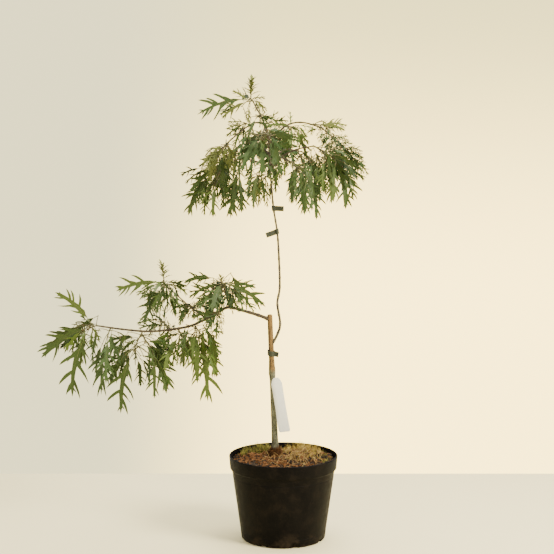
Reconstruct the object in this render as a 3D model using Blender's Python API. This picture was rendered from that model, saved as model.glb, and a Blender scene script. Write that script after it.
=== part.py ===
"""Young grafted oak with cut leaves and a weeping habit, standing in a round nursery pot.

Frame: origin at the centre of the pot's flat underside, +Z up, +X along the wide side of the
crown, -Y towards the side that the crown faces. Units are metres, angles are degrees.

Limbs are tapering tubes along a few hand-set stations. A mass of foliage is one stem that
springs from a limb, with side twigs, and leaves dealt out along every twig in a fan. The fan
gives each leaf its bearing, its slope and its length, and a seed gives the small scatter.
"""

import math
import random
from typing import NamedTuple

import bmesh
import bpy
from mathutils import Matrix, Vector
from mathutils.bvhtree import BVHTree

CLEAR = 0.0003            # gap between pieces that touch
UP = Vector((0.0, 0.0, 1.0))

# Pot: thin moulded wall, a deeper band at the rim, notches for drainage round the foot.
POT_HEIGHT = 0.172
POT_RIM_RADIUS = 0.110
POT_BASE_RADIUS = 0.0853
POT_NECK_RADIUS = 0.1040
POT_BAND_HEIGHT = 0.028
POT_BAND_TAPER = 0.0020
POT_WALL = 0.0018
POT_FLOOR = 0.0030
POT_SIDES = 30
NOTCHES = 8
NOTCH_WIDTH = 0.014
NOTCH_DEPTH = 0.009
NOTCH_HEIGHT = 0.0055
NOTCH_TURN = 16.0

# Soil: fills the pot to just under the rim, with a flat seat where the trunk stands.
SOIL_EDGE = 0.1605
SOIL_CROWN = 0.0060
SOIL_SIDES = 30
SOIL_RINGS = 4
SEAT_RADIUS = 0.0150
SEAT_HEIGHT = 0.1700
HUMMOCKS = ((0.046, 0.020, 0.0085, 0.030), (-0.052, 0.034, 0.0045, 0.026), (0.010, -0.055, 0.0020, 0.030))

# Trunk: rises from the seat with a slight lean, flares at the root and swells at the graft.
TRUNK_FOOT = Vector((-0.0160, 0.0100, SEAT_HEIGHT + CLEAR))
TRUNK_TOP = Vector((-0.0272, 0.0080, 0.4555))
TRUNK_RADIUS = 0.0064
TRUNK_TOP_RADIUS = 0.0050
ROOT_FLARE = 0.0056
ROOT_FLARE_FALL = 0.011
GRAFT_HEIGHT = 0.343
GRAFT_SWELL = 0.0011
GRAFT_SPREAD = 0.014
TRUNK_SIDES = 12
TRUNK_RINGS = 14
LIMB_SIDES = 6
LIMB_SPACING = 0.025

# Leaves: a stalk, a narrow blade that widens from a wedge, and lobes that spring from it by turns
# on one side and the other and point forward.
STALK_HALF_WIDTH = 0.0010
WEDGE_END = 0.30
LOBES_END = 0.88
BLADE_HALF_WIDTH = 0.036
LOBE_REACH = 0.205
LOBE_FORWARD = 0.200
RIB_HALF_THICKNESS = 0.0125
LEAF_CURL = 36.0
LONG_LEAF = 0.092
LONG_LEAF_LOBES = 5
SHORT_LEAF_LOBES = 4
TWIG_RADIUS = 0.0016
TWIG_TIP_RADIUS = 0.0009
TWIG_SIDES = 4
TWIG_SPACING = 0.018
TWIG_SAG = 14.0
SCATTER_BEARING = 20.0
SCATTER_TILT = 5.0
SCATTER_SIZE = 0.06
SCATTER_FACE = 30.0
LEAF_CLEARANCE = 0.0006
TURNS_ASIDE = ((0, 0), (12, 0), (-12, 0), (0, 8), (0, -8), (22, -4), (-22, -4), (0, 14), (0, -14))

# Ties of flat tape and the blank strip label.
TAPE_THICKNESS = 0.0011
TAPE_HEIGHT = 0.0105
LABEL_WIDTH = 0.024
LABEL_LENGTH = 0.112
LABEL_THICKNESS = 0.0010


class Limb(NamedTuple):
    """A tapering limb: its parent and the stations of its centre line, base to tip."""

    name: str
    parent: str
    radius: float
    tip_radius: float
    stations: tuple


class Spray(NamedTuple):
    """A twig and the fan of leaves on it."""

    at: float             # where it springs, as a share of the limb or of the mass's stem
    heading: tuple        # bearing and slope of the twig
    length: float
    leaves: int
    fan: tuple            # bearing of the first and the last leaf
    tilt: tuple           # slope of the first and the last leaf
    size: tuple           # length of the first and the last leaf
    face: float           # bearing that the blades turn to
    seed: int


class Mass(NamedTuple):
    """A mass of foliage: the limb it springs from, its stem's spray first, then side sprays."""

    name: str
    limb: str
    sprays: tuple


class Sprig(NamedTuple):
    """A young upright shoot set with short leaflets."""

    heading: tuple
    length: float
    leaflets: int
    size: float
    seed: int


LIMBS = (
    Limb("leader", "trunk", 0.0026, 0.0014, (
        (-0.0240, 0.0070, 0.396), (-0.0125, 0.0050, 0.417), (-0.0065, 0.0035, 0.440),
        (-0.0120, 0.0030, 0.481), (-0.0072, 0.0020, 0.516), (-0.0098, 0.0020, 0.592),
        (-0.0130, 0.0010, 0.630), (-0.0205, 0.0000, 0.679), (-0.0260, 0.0000, 0.749),
        (-0.0285, 0.0000, 0.794), (-0.0340, -0.0010, 0.832), (-0.0590, -0.0040, 0.882))),
    Limb("bough_lower", "trunk", 0.0034, 0.0016, (
        (-0.0280, 0.0080, 0.4480), (-0.0540, 0.0050, 0.4580), (-0.0860, 0.0010, 0.4680),
        (-0.1100, -0.0010, 0.4735), (-0.1300, -0.0040, 0.4650), (-0.1780, -0.0080, 0.4400),
        (-0.2190, -0.0110, 0.4310), (-0.2680, -0.0150, 0.4270), (-0.3180, -0.0190, 0.4315),
        (-0.3690, -0.0240, 0.4395))),
    Limb("shoot_upright", "bough_lower", 0.0014, 0.0011, (
        (-0.1070, -0.0010, 0.4735), (-0.1150, -0.0020, 0.4980), (-0.1190, -0.0030, 0.5130))),
    Limb("shoot_long", "bough_lower", 0.0017, 0.0012, (
        (-0.1560, -0.0060, 0.4520), (-0.1710, -0.0030, 0.4630), (-0.1870, 0.0000, 0.4740),
        (-0.2050, 0.0030, 0.4900), (-0.2310, 0.0050, 0.5130))),
    Limb("bough_left_upper", "leader", 0.0018, 0.0013, (
        (-0.0370, -0.0010, 0.8400), (-0.0560, -0.0060, 0.8420), (-0.0780, -0.0140, 0.8300),
        (-0.1000, -0.0200, 0.8120))),
    Limb("bough_left_low", "leader", 0.0019, 0.0013, (
        (-0.0265, 0.0000, 0.7530), (-0.0500, 0.0020, 0.7640), (-0.0760, 0.0040, 0.7700),
        (-0.1020, 0.0060, 0.7680))),
    Limb("bough_right_upper", "leader", 0.0020, 0.0013, (
        (-0.0290, 0.0000, 0.7990), (-0.0070, 0.0040, 0.8260), (0.0140, 0.0070, 0.8400),
        (0.0410, 0.0090, 0.8420), (0.0720, 0.0100, 0.8330))),
    Limb("bough_right_low", "leader", 0.0018, 0.0013, (
        (-0.0270, 0.0000, 0.7690), (-0.0040, -0.0060, 0.7760), (0.0260, -0.0120, 0.7900),
        (0.0560, -0.0160, 0.7960))),
    Limb("bough_front", "leader", 0.0017, 0.0012, (
        (-0.0310, -0.0010, 0.8120), (-0.0350, -0.0360, 0.8300), (-0.0400, -0.0760, 0.8250))),
    Limb("bough_back", "leader", 0.0018, 0.0012, (
        (-0.0300, 0.0000, 0.8050), (-0.0240, 0.0440, 0.8270), (-0.0140, 0.0940, 0.8230))),
    Limb("bough_back_left", "leader", 0.0018, 0.0012, (
        (-0.0280, 0.0000, 0.7800), (-0.0540, 0.0400, 0.8020), (-0.0860, 0.0840, 0.7960))),
    Limb("bough_back_right", "leader", 0.0018, 0.0012, (
        (-0.0270, 0.0000, 0.7640), (0.0020, 0.0420, 0.7870), (0.0360, 0.0860, 0.7820))),
    Limb("bough_front_right", "leader", 0.0016, 0.0011, (
        (-0.0265, -0.0010, 0.7580), (-0.0060, -0.0400, 0.7740), (0.0140, -0.0800, 0.7680))),
)

MASSES = (
    Mass("leaves_lower_tip", "bough_lower", (
        Spray(1.0, (185, -10), 0.014, 2, (180, 192), (-14, -58), (0.118, 0.152), 270, 11),
        Spray(0.5, (150, 40), 0.010, 2, (180, 140), (58, 20), (0.096, 0.050), 280, 12))),
    Mass("leaves_lower_hanging", "bough_lower", (
        Spray(0.93, (200, -62), 0.018, 3, (190, 300), (-62, -40), (0.124, 0.070), 266, 15),)),
    Mass("leaves_lower_outer", "bough_lower", (
        Spray(0.75, (192, -58), 0.044, 3, (180, 186), (-24, -58), (0.050, 0.142), 272, 21),
        Spray(0.12, (350, -54), 0.018, 2, (350, 20), (-48, -30), (0.132, 0.070), 266, 22))),
    Mass("leaves_lower_middle", "bough_lower", (
        Spray(0.60, (150, 50), 0.020, 3, (182, 100), (12, 60), (0.064, 0.045), 270, 31),)),
    Mass("leaves_lower_under", "bough_lower", (
        Spray(0.55, (330, -60), 0.016, 3, (100, 350), (-40, -56), (0.070, 0.094), 272, 35),)),
    Mass("leaves_lower_inner", "bough_lower", (
        Spray(0.455, (300, -64), 0.022, 3, (200, 350), (-60, -66), (0.070, 0.136), 268, 41),
        Spray(0.2, (10, -50), 0.018, 2, (356, 60), (-60, -50), (0.096, 0.056), 284, 42))),
    Mass("leaves_lower_upright", "shoot_upright", (
        Spray(1.0, (170, 66), 0.008, 3, (182, 356), (-6, -14), (0.080, 0.106), 275, 51),
        Spray(0.3, (90, 20), 0.012, 2, (60, 110), (10, -10), (0.066, 0.060), 100, 52))),
    Mass("leaves_lower_shade", "bough_lower", (
        Spray(0.30, (260, -20), 0.014, 3, (184, 250), (6, -60), (0.060, 0.050), 262, 55),)),
    Mass("leaves_lower_sprig", "shoot_long", (
        Spray(1.0, (165, 60), 0.012, 3, (180, 350), (8, 6), (0.098, 0.048), 270, 61),
        Spray(0.4, (265, 10), 0.010, 3, (186, 300), (-38, -50), (0.088, 0.046), 268, 62))),
    Mass("leaves_lower_crest", "shoot_long", (
        Spray(0.30, (60, 55), 0.014, 3, (165, 10), (10, -10), (0.050, 0.066), 272, 65),)),
    Mass("leaves_top", "leader", (
        Spray(1.0, (150, 40), 0.007, 3, (180, 4), (1, 22), (0.121, 0.034), 272, 71),
        Spray(0.3, (190, 0), 0.010, 2, (184, 170), (-15, 52), (0.064, 0.038), 268, 72))),
    Mass("leaves_top_right", "leader", (
        Spray(0.905, (2, 18), 0.014, 3, (5, 350), (68, 20), (0.032, 0.040), 270, 77),)),
    Mass("leaves_top_under", "leader", (
        Spray(0.945, (210, -30), 0.010, 2, (205, 350), (-46, 10), (0.060, 0.034), 268, 75),)),
    Mass("leaves_left_upper", "bough_left_upper", (
        Spray(1.0, (188, -40), 0.040, 5, (184, 178), (-22, -58), (0.050, 0.058), 275, 81),
        Spray(0.2, (210, -50), 0.016, 2, (190, 240), (-40, -62), (0.060, 0.066), 265, 82))),
    Mass("leaves_left_ridge", "bough_left_upper", (
        Spray(0.42, (200, 35), 0.010, 3, (184, 176), (20, -50), (0.042, 0.056), 272, 85),)),
    Mass("leaves_left_low", "bough_left_low", (
        Spray(1.0, (182, -30), 0.046, 4, (180, 188), (-12, -46), (0.070, 0.102), 270, 91),
        Spray(0.5, (205, -64), 0.038, 2, (188, 240), (-52, -62), (0.074, 0.068), 262, 92))),
    Mass("leaves_left_inner", "bough_left_low", (
        Spray(0.72, (205, -60), 0.036, 4, (184, 345), (-60, -64), (0.104, 0.078), 268, 101),)),
    Mass("leaves_left_core", "bough_left_low", (
        Spray(0.25, (250, -60), 0.024, 2, (200, 330), (-60, -66), (0.080, 0.060), 268, 105),)),
    Mass("leaves_front", "bough_front", (
        Spray(1.0, (255, -30), 0.020, 4, (200, 320), (-36, -66), (0.080, 0.070), 270, 111),
        Spray(0.3, (330, 0), 0.016, 2, (340, 300), (10, -50), (0.060, 0.070), 280, 112))),
    Mass("leaves_right_inner", "bough_right_upper", (
        Spray(0.42, (330, 0), 0.016, 4, (110, 320), (56, -50), (0.040, 0.072), 270, 121),)),
    Mass("leaves_right_upper", "bough_right_upper", (
        Spray(0.84, (350, 4), 0.022, 4, (80, 2), (-6, 16), (0.044, 0.060), 262, 131),)),
    Mass("leaves_right_outer", "bough_right_upper", (
        Spray(1.0, (0, -38), 0.104, 6, (4, -4), (34, -28), (0.027, 0.036), 270, 141),
        Spray(0.35, (300, -60), 0.020, 3, (350, 200), (-62, -72), (0.076, 0.066), 272, 142))),
    Mass("leaves_right_low", "bough_right_low", (
        Spray(1.0, (357, -26), 0.054, 5, (358, 350), (-14, -58), (0.070, 0.104), 268, 151),
        Spray(0.4, (330, -56), 0.020, 3, (240, 350), (-56, -70), (0.080, 0.088), 275, 152))),
    Mass("leaves_right_hanging", "bough_right_low", (
        Spray(0.66, (345, -62), 0.062, 4, (200, 352), (-58, -62), (0.072, 0.092), 272, 161),)),
    Mass("leaves_right_core", "bough_right_low", (
        Spray(0.30, (320, -40), 0.018, 2, (240, 350), (-50, -10), (0.060, 0.060), 268, 165),)),
    Mass("leaves_centre", "leader", (
        Spray(0.752, (340, -50), 0.014, 2, (10, 300), (-62, -70), (0.040, 0.050), 262, 171),)),
    Mass("leaves_centre_left", "leader", (
        Spray(0.700, (140, -16), 0.030, 3, (205, 110), (-40, -62), (0.060, 0.054), 262, 175),)),
    Mass("leaves_back", "bough_back", (
        Spray(1.0, (80, -30), 0.026, 4, (40, 140), (-30, -60), (0.084, 0.086), 90, 181),
        Spray(0.4, (150, 0), 0.018, 2, (120, 170), (10, -40), (0.070, 0.080), 100, 182))),
    Mass("leaves_back_left", "bough_back_left", (
        Spray(1.0, (140, -30), 0.034, 4, (104, 180), (-26, -66), (0.086, 0.090), 110, 191),)),
    Mass("leaves_back_right", "bough_back_right", (
        Spray(1.0, (40, -25), 0.036, 4, (84, 5), (-22, -64), (0.082, 0.090), 80, 201),)),
    Mass("leaves_front_right", "bough_front_right", (
        Spray(1.0, (320, -35), 0.026, 3, (270, 350), (-44, -70), (0.078, 0.090), 280, 211),)),
)

SPRIGS = {
    "leaves_top": Sprig((60, 86), 0.036, 9, 0.013, 301),
    "leaves_lower_sprig": Sprig((150, 82), 0.036, 7, 0.012, 302),
    "leaves_lower_upright": Sprig((160, 80), 0.012, 4, 0.009, 303),
}

COLOURS = {
    "pot": ((0.020, 0.019, 0.018), 0.45),
    "soil": ((0.060, 0.042, 0.028), 0.95),
    "trunk": ((0.270, 0.215, 0.130), 0.80),
    "limb": ((0.130, 0.105, 0.075), 0.80),
    "leaf": ((0.085, 0.150, 0.035), 0.60),
    "tie": ((0.085, 0.085, 0.055), 0.70),
    "label": ((0.820, 0.820, 0.800), 0.45),
}


# ---------------------------------------------------------------- directions and curves

def direction(bearing, slope):
    """Unit vector at a bearing in plan, counted from +X towards +Y, and a slope above level."""
    b = math.radians(bearing)
    s = math.radians(slope)
    return Vector((math.cos(s) * math.cos(b), math.cos(s) * math.sin(b), math.sin(s)))


def smooth_path(stations, spacing):
    """Points along a Catmull-Rom curve through the stations, about a spacing apart."""
    pts = [Vector(p) for p in stations]
    padded = [pts[0] * 2 - pts[1]] + pts + [pts[-1] * 2 - pts[-2]]
    path = [pts[0]]
    for i in range(1, len(padded) - 2):
        a, b, c, d = padded[i - 1:i + 3]
        steps = max(1, round((c - b).length / spacing))
        for k in range(1, steps + 1):
            t = k / steps
            path.append(0.5 * (2 * b + (c - a) * t + (2 * a - 5 * b + 4 * c - d) * t * t
                               + (3 * b - a - 3 * c + d) * t ** 3))
    return path


def point_along(path, share):
    """Point and unit direction at a share of a path's length."""
    lengths = [(q - p).length for p, q in zip(path, path[1:])]
    left = share * sum(lengths)
    for p, q, length in zip(path, path[1:], lengths):
        if left <= length or q is path[-1]:
            return p.lerp(q, min(1.0, left / length)), (q - p).normalized()
        left -= length
    return path[-1], (path[-1] - path[-2]).normalized()


def bending_path(start, bearing, slope, length, bend, steps):
    """Points of a run that starts at a slope and bends downwards by an angle along its length."""
    points = [start.copy()]
    for k in range(steps):
        s = max(-88.0, slope - bend * (k + 0.5) / steps)
        points.append(points[-1] + direction(bearing, s) * (length / steps))
    return points


# ---------------------------------------------------------------- meshes

def new_object(name, verts, faces, kind):
    """Object with its own material from vertices and faces, its faces turned outwards."""
    mesh = bpy.data.meshes.new(name)
    mesh.from_pydata([tuple(v) for v in verts], [], faces)
    bm = bmesh.new()
    bm.from_mesh(mesh)
    bmesh.ops.recalc_face_normals(bm, faces=bm.faces)
    bmesh.ops.triangulate(bm, faces=bm.faces)
    bm.to_mesh(mesh)
    bm.free()
    obj = bpy.data.objects.new(name, mesh)
    bpy.context.scene.collection.objects.link(obj)
    colour, roughness = COLOURS[kind]
    material = bpy.data.materials.new(name)
    material.use_nodes = True
    shader = material.node_tree.nodes["Principled BSDF"]
    shader.inputs["Base Color"].default_value = (*colour, 1.0)
    shader.inputs["Roughness"].default_value = roughness
    mesh.materials.append(material)
    return obj


def smooth_shade(obj, angle=40.0):
    """Smooth shading with edges kept sharp above an angle."""
    obj.data.shade_smooth()
    obj.data.set_sharp_from_angle(angle=math.radians(angle))


def tube(path, radii, sides, pointed=False):
    """Vertices and faces of a tube along a path, its rings carried without twist."""
    verts = []
    faces = []
    along = (path[1] - path[0]).normalized()
    side = along.cross(UP if abs(along.z) < 0.9 else Vector((1.0, 0.0, 0.0))).normalized()
    for i, p in enumerate(path):
        before = path[max(0, i - 1)]
        after = path[min(len(path) - 1, i + 1)]
        turned = (after - before).normalized()
        side = along.rotation_difference(turned) @ side
        along = turned
        other = along.cross(side)
        for k in range(sides):
            a = 2 * math.pi * k / sides
            verts.append(p + (side * math.cos(a) + other * math.sin(a)) * radii[i])
    for i in range(len(path) - 1):
        for k in range(sides):
            n = (k + 1) % sides
            faces.append((i * sides + k, i * sides + n, (i + 1) * sides + n, (i + 1) * sides + k))
    faces.append(tuple(range(sides)))
    last = (len(path) - 1) * sides
    if pointed:
        verts.append(path[-1] + along * radii[-1] * 2.0)
        faces.extend((last + k, last + (k + 1) % sides, len(verts) - 1) for k in range(sides))
    else:
        faces.append(tuple(range(last, last + sides)))
    return verts, faces


def taper(count, first, last):
    """Radii that fall evenly from the first to the last."""
    return [first + (last - first) * i / (count - 1) for i in range(count)]


def cut_away(obj, cutter_verts, cutter_faces):
    """Difference of an object by a solid, applied, with scraps dropped."""
    cutter = new_object("cutter", cutter_verts, cutter_faces, "limb")
    cut = obj.modifiers.new("cut", "BOOLEAN")
    cut.operation = "DIFFERENCE"
    cut.solver = "EXACT"
    cut.object = cutter
    apply_modifiers(obj)
    bpy.data.objects.remove(cutter)
    keep_main_body(obj)


def apply_modifiers(obj):
    """Replace an object's mesh by its evaluated one."""
    view = bpy.context.evaluated_depsgraph_get()
    view.update()
    mesh = bpy.data.meshes.new_from_object(obj.evaluated_get(view))
    obj.modifiers.clear()
    obj.data = mesh


def keep_main_body(obj):
    """Keep an object's largest closed shell, with its faces cut into triangles."""
    bm = bmesh.new()
    bm.from_mesh(obj.data)
    left = set(bm.faces)
    shells = []
    while left:
        stack = [left.pop()]
        shell = set(stack)
        while stack:
            for edge in stack.pop().edges:
                for face in edge.link_faces:
                    if face in left:
                        left.remove(face)
                        shell.add(face)
                        stack.append(face)
        shells.append(shell)
    shells.sort(key=lambda faces: sum(face.calc_area() for face in faces))
    for shell in shells[:-1]:
        bmesh.ops.delete(bm, geom=list(shell), context="FACES")
    bmesh.ops.triangulate(bm, faces=bm.faces)
    bm.to_mesh(obj.data)
    bm.free()


# ---------------------------------------------------------------- pot, soil and trunk

def turned(profile, sides):
    """Solid turned about Z from a profile of radius and height, both ends on the axis."""
    verts = [Vector((0.0, 0.0, profile[0][1]))]
    for radius, height in profile[1:-1]:
        for k in range(sides):
            a = 2 * math.pi * k / sides
            verts.append(Vector((radius * math.cos(a), radius * math.sin(a), height)))
    verts.append(Vector((0.0, 0.0, profile[-1][1])))
    rings = len(profile) - 2
    faces = []
    for k in range(sides):
        n = (k + 1) % sides
        faces.append((0, 1 + n, 1 + k))
        for i in range(rings - 1):
            a = 1 + i * sides
            faces.append((a + k, a + n, a + sides + n, a + sides + k))
        last = 1 + (rings - 1) * sides
        faces.append((last + k, last + n, len(verts) - 1))
    return verts, faces


def build_pot():
    """Moulded pot with its band, rolled rim and notched foot."""
    neck = POT_HEIGHT - POT_BAND_HEIGHT
    lip = 0.0012
    band = POT_RIM_RADIUS - POT_BAND_TAPER
    profile = (
        (0.0, 0.0),
        (POT_BASE_RADIUS - 0.003, 0.0),
        (POT_BASE_RADIUS, 0.003),
        (POT_NECK_RADIUS, neck - 0.004),
        (POT_NECK_RADIUS + 0.0008, neck),
        (band, neck + 0.0012),
        (POT_RIM_RADIUS, POT_HEIGHT - lip),
        (POT_RIM_RADIUS - lip, POT_HEIGHT),
        (POT_RIM_RADIUS - 2 * lip, POT_HEIGHT),
        (band - POT_WALL, neck + 0.004),
        (POT_NECK_RADIUS - POT_WALL, neck),
        (POT_BASE_RADIUS - POT_WALL, POT_FLOOR),
        (0.0, POT_FLOOR),
    )
    pot = new_object("pot", *turned(profile, POT_SIDES), "pot")
    for k in range(NOTCHES):
        turn = Matrix.Rotation(math.radians(NOTCH_TURN + 360.0 * k / NOTCHES), 4, "Z")
        corners = [(x, y, z) for x in (POT_BASE_RADIUS - NOTCH_DEPTH, POT_BASE_RADIUS + NOTCH_DEPTH)
                   for y in (-NOTCH_WIDTH / 2, NOTCH_WIDTH / 2) for z in (-NOTCH_HEIGHT, NOTCH_HEIGHT)]
        box = ((0, 1, 3, 2), (4, 6, 7, 5), (0, 4, 5, 1), (2, 3, 7, 6), (0, 2, 6, 4), (1, 5, 7, 3))
        cut_away(pot, [turn @ Vector(c) for c in corners], box)
    smooth_shade(pot, 30.0)
    return pot


def soil_height(x, y):
    """Height of the soil's top at a place in plan."""
    share = math.hypot(x, y) / POT_NECK_RADIUS
    height = SOIL_EDGE + SOIL_CROWN * (1 - share ** 2)
    for hx, hy, rise, spread in HUMMOCKS:
        height += rise * math.exp(-((x - hx) ** 2 + (y - hy) ** 2) / (2 * spread ** 2))
    height += 0.0008 * math.sin(90 * x + 1.0) * math.sin(110 * y)
    return height


def build_soil():
    """Root ball and soil inside the pot, clear of its wall, with rings round the trunk's seat."""
    neck = POT_HEIGHT - POT_BAND_HEIGHT
    edge = POT_RIM_RADIUS - POT_BAND_TAPER - POT_WALL - CLEAR - 0.0006
    foot = Vector((TRUNK_FOOT.x, TRUNK_FOOT.y, 0.0))
    verts = [Vector((foot.x, foot.y, SEAT_HEIGHT))]
    for ring in range(SOIL_RINGS + 1):
        share = (ring / SOIL_RINGS) ** 1.25
        for k in range(SOIL_SIDES):
            a = 2 * math.pi * k / SOIL_SIDES
            seat = foot + Vector((math.cos(a), math.sin(a), 0.0)) * SEAT_RADIUS
            wall = Vector((math.cos(a), math.sin(a), 0.0)) * edge
            p = seat.lerp(wall, share)
            p.z = SEAT_HEIGHT if ring == 0 else soil_height(p.x, p.y)
            verts.append(p)
    for radius, height in ((edge, neck + 0.0045), (POT_NECK_RADIUS - POT_WALL - CLEAR - 0.0004, neck),
                           (POT_BASE_RADIUS - POT_WALL - CLEAR - 0.0004, POT_FLOOR + CLEAR)):
        for k in range(SOIL_SIDES):
            a = 2 * math.pi * k / SOIL_SIDES
            verts.append(Vector((radius * math.cos(a), radius * math.sin(a), height)))
    verts.append(Vector((0.0, 0.0, POT_FLOOR + CLEAR)))
    rings = SOIL_RINGS + 1 + 3
    faces = []
    for k in range(SOIL_SIDES):
        n = (k + 1) % SOIL_SIDES
        faces.append((0, 1 + k, 1 + n))
        for i in range(rings - 1):
            a = 1 + i * SOIL_SIDES
            faces.append((a + k, a + SOIL_SIDES + k, a + SOIL_SIDES + n, a + n))
        last = 1 + (rings - 1) * SOIL_SIDES
        faces.append((last + n, last + k, len(verts) - 1))
    soil = new_object("soil", verts, faces, "soil")
    smooth_shade(soil, 60.0)
    return soil


def trunk_path():
    """Centre line and radii of the trunk, foot to top."""
    rise = TRUNK_TOP - TRUNK_FOOT
    path = []
    radii = []
    for i in range(TRUNK_RINGS):
        share = (i / (TRUNK_RINGS - 1)) ** 1.35
        p = TRUNK_FOOT + rise * share
        r = TRUNK_RADIUS + (TRUNK_TOP_RADIUS - TRUNK_RADIUS) * share
        r += ROOT_FLARE * math.exp(-(p.z - TRUNK_FOOT.z) / ROOT_FLARE_FALL)
        r += GRAFT_SWELL * math.exp(-((p.z - GRAFT_HEIGHT) / GRAFT_SPREAD) ** 2)
        path.append(p)
        radii.append(r)
    path.append(TRUNK_TOP + rise.normalized() * TRUNK_TOP_RADIUS * 0.5)
    radii.append(TRUNK_TOP_RADIUS * 0.55)
    return path, radii


def build_trunk():
    """Trunk with a flat cut at the soil and a rounded stub at the top."""
    path, radii = trunk_path()
    verts, faces = tube(path, radii, TRUNK_SIDES)
    for v in verts[:TRUNK_SIDES]:
        v.z = TRUNK_FOOT.z
    trunk = new_object("trunk", verts, faces, "trunk")
    smooth_shade(trunk, 50.0)
    return trunk


def limb_path(limb):
    """Centre line and radii of a limb."""
    path = smooth_path(limb.stations, LIMB_SPACING)
    return path, taper(len(path), limb.radius, limb.tip_radius)


def paths_by_name():
    """Centre line and radii of the trunk and every limb, by name."""
    paths = {"trunk": trunk_path()}
    for limb in LIMBS:
        paths[limb.name] = limb_path(limb)
    return paths


def build_limb(limb, paths):
    """Limb as one tube, trimmed to its seat on its parent."""
    path, radii = paths[limb.name]
    obj = new_object(limb.name, *tube(path, radii, LIMB_SIDES), "limb")
    parent_path, parent_radii = paths[limb.parent]
    sides = TRUNK_SIDES if limb.parent == "trunk" else LIMB_SIDES
    cut_away(obj, *tube(parent_path, [r + CLEAR for r in parent_radii], sides))
    smooth_shade(obj, 50.0)
    return obj


# ---------------------------------------------------------------- foliage

class Leaf(NamedTuple):
    """Where a leaf springs, which way it goes and how long it is."""

    root: Vector
    bearing: float
    slope: float
    length: float
    face: float
    seed: int


def spray_leaves(spray, twig):
    """Leaves dealt out along a twig in a fan, most of them near its tip."""
    draw = random.Random(spray.seed)
    leaves = []
    for i in range(spray.leaves):
        share = i / max(1, spray.leaves - 1)
        root, _ = point_along(twig, 0.96 - 0.60 * (1 - share) * min(1.0, spray.length / 0.03))
        leaves.append(Leaf(
            root,
            spray.fan[0] + (spray.fan[1] - spray.fan[0]) * share + draw.uniform(-1, 1) * SCATTER_BEARING,
            spray.tilt[0] + (spray.tilt[1] - spray.tilt[0]) * share + draw.uniform(-1, 1) * SCATTER_TILT,
            (spray.size[0] + (spray.size[1] - spray.size[0]) * share)
            * (1 + draw.uniform(-1, 1) * SCATTER_SIZE),
            spray.face + draw.uniform(-1, 1) * SCATTER_FACE,
            spray.seed * 100 + i))
    return leaves


def leaf_solid(leaf, margin=0.0):
    """Vertices and faces of a lobed leaf: a rib above and below, thin out to every lobe's tip."""
    draw = random.Random(leaf.seed)
    lobes = LONG_LEAF_LOBES if leaf.length >= LONG_LEAF else SHORT_LEAF_LOBES
    first = draw.choice((0, 1))
    spine = bending_path(leaf.root, leaf.bearing, leaf.slope, leaf.length, LEAF_CURL, 10)
    step = (LOBES_END - WEDGE_END) / lobes
    shares = [0.0] + [WEDGE_END + step * k for k in range(lobes + 1)]
    turned_to = direction(leaf.face, 0.0)
    verts = []
    rows = []
    for k, share in enumerate(shares):
        centre, along = point_along(spine, share)
        normal = (turned_to - along * turned_to.dot(along)).normalized()
        across = along.cross(normal)
        if k == 0:
            half = rib = STALK_HALF_WIDTH + margin
        else:
            half = leaf.length * BLADE_HALF_WIDTH * (1.0 - 0.4 * (k - 1) / lobes) + margin
            rib = leaf.length * RIB_HALF_THICKNESS * (1.0 - 0.4 * (k - 1) / lobes) + margin
        rows.append(len(verts))
        verts += [centre - across * half, centre + across * half, centre + normal * rib, centre - normal * rib]
        if 1 <= k <= lobes:
            swell = math.sin(math.pi * (0.22 + 0.62 * (k - 1) / (lobes - 1)))
            turn = 1 if (k + first) % 2 else -1
            out = leaf.length * LOBE_REACH * swell * draw.uniform(0.86, 1.12) + margin
            ahead = leaf.length * LOBE_FORWARD * draw.uniform(0.85, 1.15)
            lift = leaf.length * draw.uniform(-0.04, 0.04)
            verts.append(centre + across * turn * out + along * ahead + normal * lift)
    verts.append(spine[-1] + (spine[-1] - spine[-2]).normalized() * margin)
    faces = [(0, 2, 1), (0, 1, 3)]
    for k in range(len(rows) - 1):
        a, b = rows[k], rows[k + 1]
        lobed = (1 if (k + first) % 2 else 0) if k >= 1 else None
        for side in (0, 1):
            for rib in (2, 3):
                if side == lobed:
                    lobe = a + 4
                    faces += [(a + rib, a + side, lobe), (a + rib, lobe, b + side), (a + rib, b + side, b + rib)]
                else:
                    faces += [(a + rib, a + side, b + side), (a + rib, b + side, b + rib)]
    last = rows[-1]
    end = len(verts) - 1
    faces += [(last + rib, last + side, end) for rib in (2, 3) for side in (0, 1)]
    return verts, faces


def leaflet_solid(root, bearing, slope, length):
    """A short young leaflet of eight faces."""
    along = direction(bearing, slope)
    across = along.cross(UP).normalized()
    normal = across.cross(along)
    middle = root + along * length * 0.55
    verts = [root, middle - across * length * 0.12, middle + across * length * 0.12,
             middle + normal * length * 0.06, middle - normal * length * 0.06, root + along * length]
    faces = [(0, 3, 1), (0, 2, 3), (0, 1, 4), (0, 4, 2), (5, 1, 3), (5, 3, 2), (5, 4, 1), (5, 2, 4)]
    return verts, faces


def mass_twigs(mass, paths):
    """Centre line of every twig of a mass, its stem first.

    A stem at the tip of its limb starts in line with it, so that the two ends face each other.
    """
    limb, _ = paths[mass.limb]
    twigs = []
    for spray in mass.sprays:
        root, along = point_along(twigs[0] if twigs else limb, spray.at)
        lead = []
        if not twigs and spray.at >= 1.0:
            lead = [root + along * CLEAR]
            root = lead[0] + along * 2 * TWIG_RADIUS
        steps = max(2, round(spray.length / TWIG_SPACING))
        twigs.append(lead + bending_path(root, *spray.heading, spray.length, TWIG_SAG, steps))
    return twigs


def search_tree(verts, faces):
    """Search tree of a solid."""
    return BVHTree.FromPolygons(verts, faces)


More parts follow.
